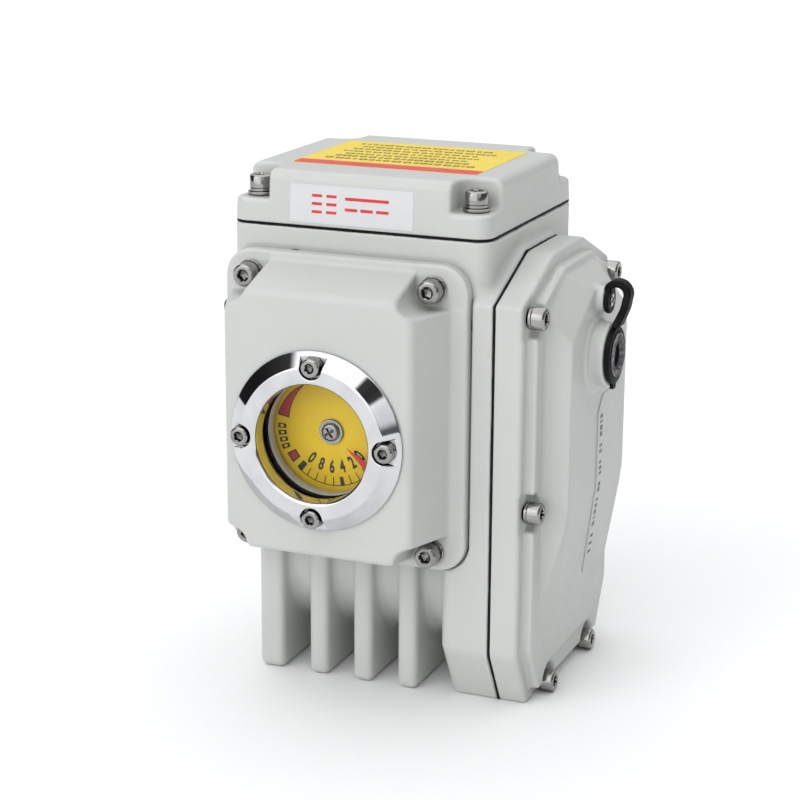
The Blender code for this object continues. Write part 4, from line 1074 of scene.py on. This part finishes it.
def gear_face(b, c):
    """How far out the gear cover's surface is, in x, at (y, z)."""
    low, high = np.full(np.shape(b), GEAR_LEDGE - 2.0), np.full(np.shape(b), GEAR_FACE + 3.0)
    for _ in range(30):
        middle = (low + high) / 2
        outside = gear_cover_field(middle, b, c) > 0
        low, high = np.where(outside, low, middle), np.where(outside, middle, high)
    return high


side_label = Shape()
SIDE_FRONT, SIDE_BACK, SIDE_HIGH, SIDE_LOW = 57.0, 90.0, 8.0, -77.0
SIDE_LIFT, SIDE_DEPTH = 0.42, 0.45
SIDE_ROWS = np.linspace(SIDE_HIGH, SIDE_LOW, 60)


def film(rows, height, slot):
    """A thin film laid on the gear cover: rows of (y, z) points, each row across the film."""
    rings = []
    for row in rows:
        b, c = np.array(row, float).T
        top = gear_face(b, c) + height
        rings.append([*zip(top, b, c), *zip((top - SIDE_DEPTH)[::-1], b[::-1], c[::-1])])
    side_label.add(rings, slot=slot)


def block(left, top, width, height):
    """A block of print on the gear cover's label."""
    film([[(left, c), (left + width, c)] for c in (top, top - height)], SIDE_LIFT + 0.04, 1)


def side_start(c):
    """The label's front edge, which slants in its top corner."""
    return SIDE_FRONT + max(0.0, c - SIDE_HIGH + 7.0)


film([[(b, c) for b in np.linspace(side_start(c), SIDE_BACK, 30)] for c in SIDE_ROWS], SIDE_LIFT, 0)
film([[(side_start(c) + 0.15, c), (side_start(c) + 0.5, c)] for c in SIDE_ROWS], SIDE_LIFT + 0.04, 1)
cursor = SIDE_HIGH - 9.0
while cursor > -54.0:
    long = rng.uniform(1.0, 2.6)
    if rng.random() > 0.12:
        for offset, width in ((0.0, 1.2), (1.9, 1.4)):
            block(SIDE_FRONT + 4.0 + offset, cursor, width, long)
    cursor -= long + rng.uniform(0.6, 1.4)
for c in (-60.0, -64.0, -68.0):
    block(SIDE_FRONT + 4.0, c, 4.5, 1.2)
seat(side_label.build("gear_cover_label", 60), "label_film ink", "housing")


# ---- gaskets, squeezed out unevenly

def dense(outline, step=1.0):
    """More points along a closed outline."""
    points = []
    for (a0, b0), (a1, b1) in zip(outline, outline[1:] + outline[:1]):
        count = max(1, int(round(math.hypot(a1 - a0, b1 - b0) / step)))
        points += [(a0 + (a1 - a0) * i / count, b0 + (b1 - b0) * i / count) for i in range(count)]
    return np.array(points)


def drift(count, waves, seed):
    """A smooth closed random curve of about -1 to 1."""
    source = np.random.default_rng(seed)
    turn = np.linspace(0, 2 * math.pi, count, endpoint=False)
    value = np.zeros(count)
    for wave in waves:
        value += np.sin(wave * turn + source.uniform(0, 2 * math.pi)) * source.uniform(0.5, 1.0)
    return value / len(waves) * 1.4


def gasket(name, node, axis, outline, middle, half, inset, wander):
    """A flat gasket in a seam, whose outer edge wanders in and out."""
    points = dense(outline)
    centre = points.mean(0)
    waves = drift(len(points), (5, 9, 14, 23, 37, 61), sum(map(ord, name)))
    rings = []
    for before, point, after, wave in zip(np.roll(points, 1, 0), points, np.roll(points, -1, 0), waves):
        normal = np.array([after[1] - before[1], before[0] - after[0]])
        normal /= np.linalg.norm(normal)
        if normal @ (point - centre) < 0:
            normal = -normal
        out = point - normal * (inset - wander * wave)
        shoulder, deep = out - normal * 0.35, point - normal * (inset + 3.0)
        section = [(deep, -half), (shoulder, -half), (out, -half * 0.5), (out, half * 0.5), (shoulder, half),
                   (deep, half)]
        rings.append([across(axis, *spot, middle + w) for spot, w in section])
    shape = Shape()
    shape.add(rings, closed=True)
    seat(shape.build(name, 50), "rubber", "housing", "black_rubber", node)


gasket("lid_seam", "lid_gasket", "z", rounded_outline(*WALLS, CORNER_RADIUS), (BLOCK_TOP + LID_BOTTOM) / 2,
       0.57, 0.10, 0.34)
gasket("gear_seam", "gear_cover_gasket", "x", case_outline(), (CASE_SEAM + GEAR_BACK) / 2, 0.57, 0.12, 0.34)
gasket("dial_cover_seam", "dial_cover_gasket", "y",
       rounded_outline(*FLANGE, FLANGE_RADIUS), -0.78, 0.45, 0.60, 0.95)


# ---- materials of the CAD nodes

NODES = {
    "steel": "bearing_plate idler_gear idler_pin motor_rotor output_shaft worm_bearing_left worm_bearing_right "
             "worm_drive_gear worm_shaft",
    "black_plastic": "cam_closed cam_open limit_switch_closed limit_switch_open terminal_block",
    "bronze": "front_bush rear_bush worm_wheel",
    "zinc": "motor_body motor_end_plate switch_bracket",
    "brass": "motor_pinion",
    "board": "control_board",
    "rubber": "dial_cover_gasket gear_cover_gasket lid_gasket",
    "grey_rubber": "switch_button_closed switch_button_open",
}
for look, nodes in NODES.items():
    for node in nodes.split():
        dress(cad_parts[node], look)


# ---- floor, light and camera

floor_mesh = bpy.data.meshes.new("floor")
floor_mesh.from_pydata([(-9, -9, 0), (9, -9, 0), (9, 9, 0), (-9, 9, 0)], [], [(0, 1, 2, 3)])
floor = linked("floor", floor_mesh)
pale = Surface("floor")
pale.set(Base_Color=pale.mix(pale.noise(3), (0.90, 0.90, 0.90), (0.92, 0.92, 0.92)), Roughness=0.7,
         Specular_IOR_Level=0.2)
floor.data.materials.append(pale.owner)

key = bpy.data.lights.new("key", "AREA")
key.shape = "RECTANGLE"
key.size = key.size_y = 0.9
key.energy = 1.5
lamp = linked("key", key)
lamp.location = (-0.9, -1.5, 0.9)
lamp.rotation_mode = "QUATERNION"
lamp.rotation_quaternion = (Vector((0.0, 0.0, 0.12)) - lamp.location).to_track_quat("-Z", "Y")

world = bpy.data.worlds.new("studio")
bpy.context.scene.world = world


def studio():
    """Soft light from above and in front, dimmer to the right, with a softbox and two dark gaps to mirror."""
    n = Nodes(world)
    towards = n.add("TexCoord").outputs["Generated"]

    def lobe(direction, *limits):
        facing_it = n.add("VectorMath", {"operation": "DOT_PRODUCT"})
        facing_it.inputs[1].default_value = Vector(direction).normalized()
        n.tree.links.new(towards, facing_it.inputs[0])
        return n.spread(facing_it.outputs["Value"], *limits, "SMOOTHSTEP")

    split = n.add("SeparateXYZ", Vector=towards)
    light = n.spread(split.outputs["Z"], 0.25, 0.80, 0.50, 1.60, "SMOOTHSTEP")
    light = n.math("MULTIPLY", light, n.spread(split.outputs["X"], 0.30, 0.85, 1.0, 0.25, "SMOOTHSTEP"))
    lobes = (
        ("ADD", (-0.35, -0.93, 0.05), 0.45, 0.95, 0.0, 1.25),
        ("ADD", (0.71, -0.61, 0.35), 0.95, 0.985, 0.0, 0.8),
        ("MULTIPLY", (-0.93, -0.16, 0.33), 0.84, 0.91, 1.0, 0.03),
        ("MULTIPLY", (0.51, -0.61, 0.61), 0.978, 0.990, 1.0, 0.04),
    )
    for operation, direction, *limits in lobes:
        light = n.math(operation, light, lobe(direction, *limits))
    n.feed(n.tree.nodes["Background"], Color=(0.985, 0.99, 1.0), Strength=light)


studio()
bpy.context.scene.view_settings.view_transform = "Standard"

YAW, PITCH, ROLL = math.radians(22.3), math.radians(15.5), math.radians(0.35)
camera_data = bpy.data.cameras.new("camera")
camera_data.lens = 99
camera_data.sensor_width = 36
camera_data.clip_start, camera_data.clip_end = 0.05, 50
camera = linked("camera", camera_data)
forward = Vector((-math.sin(YAW) * math.cos(PITCH), math.cos(YAW) * math.cos(PITCH), -math.sin(PITCH)))
camera.location = Vector((0.385, -0.8753, 0.2756)) + ORIGIN
camera.rotation_mode = "QUATERNION"
camera.rotation_quaternion = forward.to_track_quat("-Z", "Y") @ Euler((0, 0, ROLL)).to_quaternion()
bpy.context.scene.camera = camera
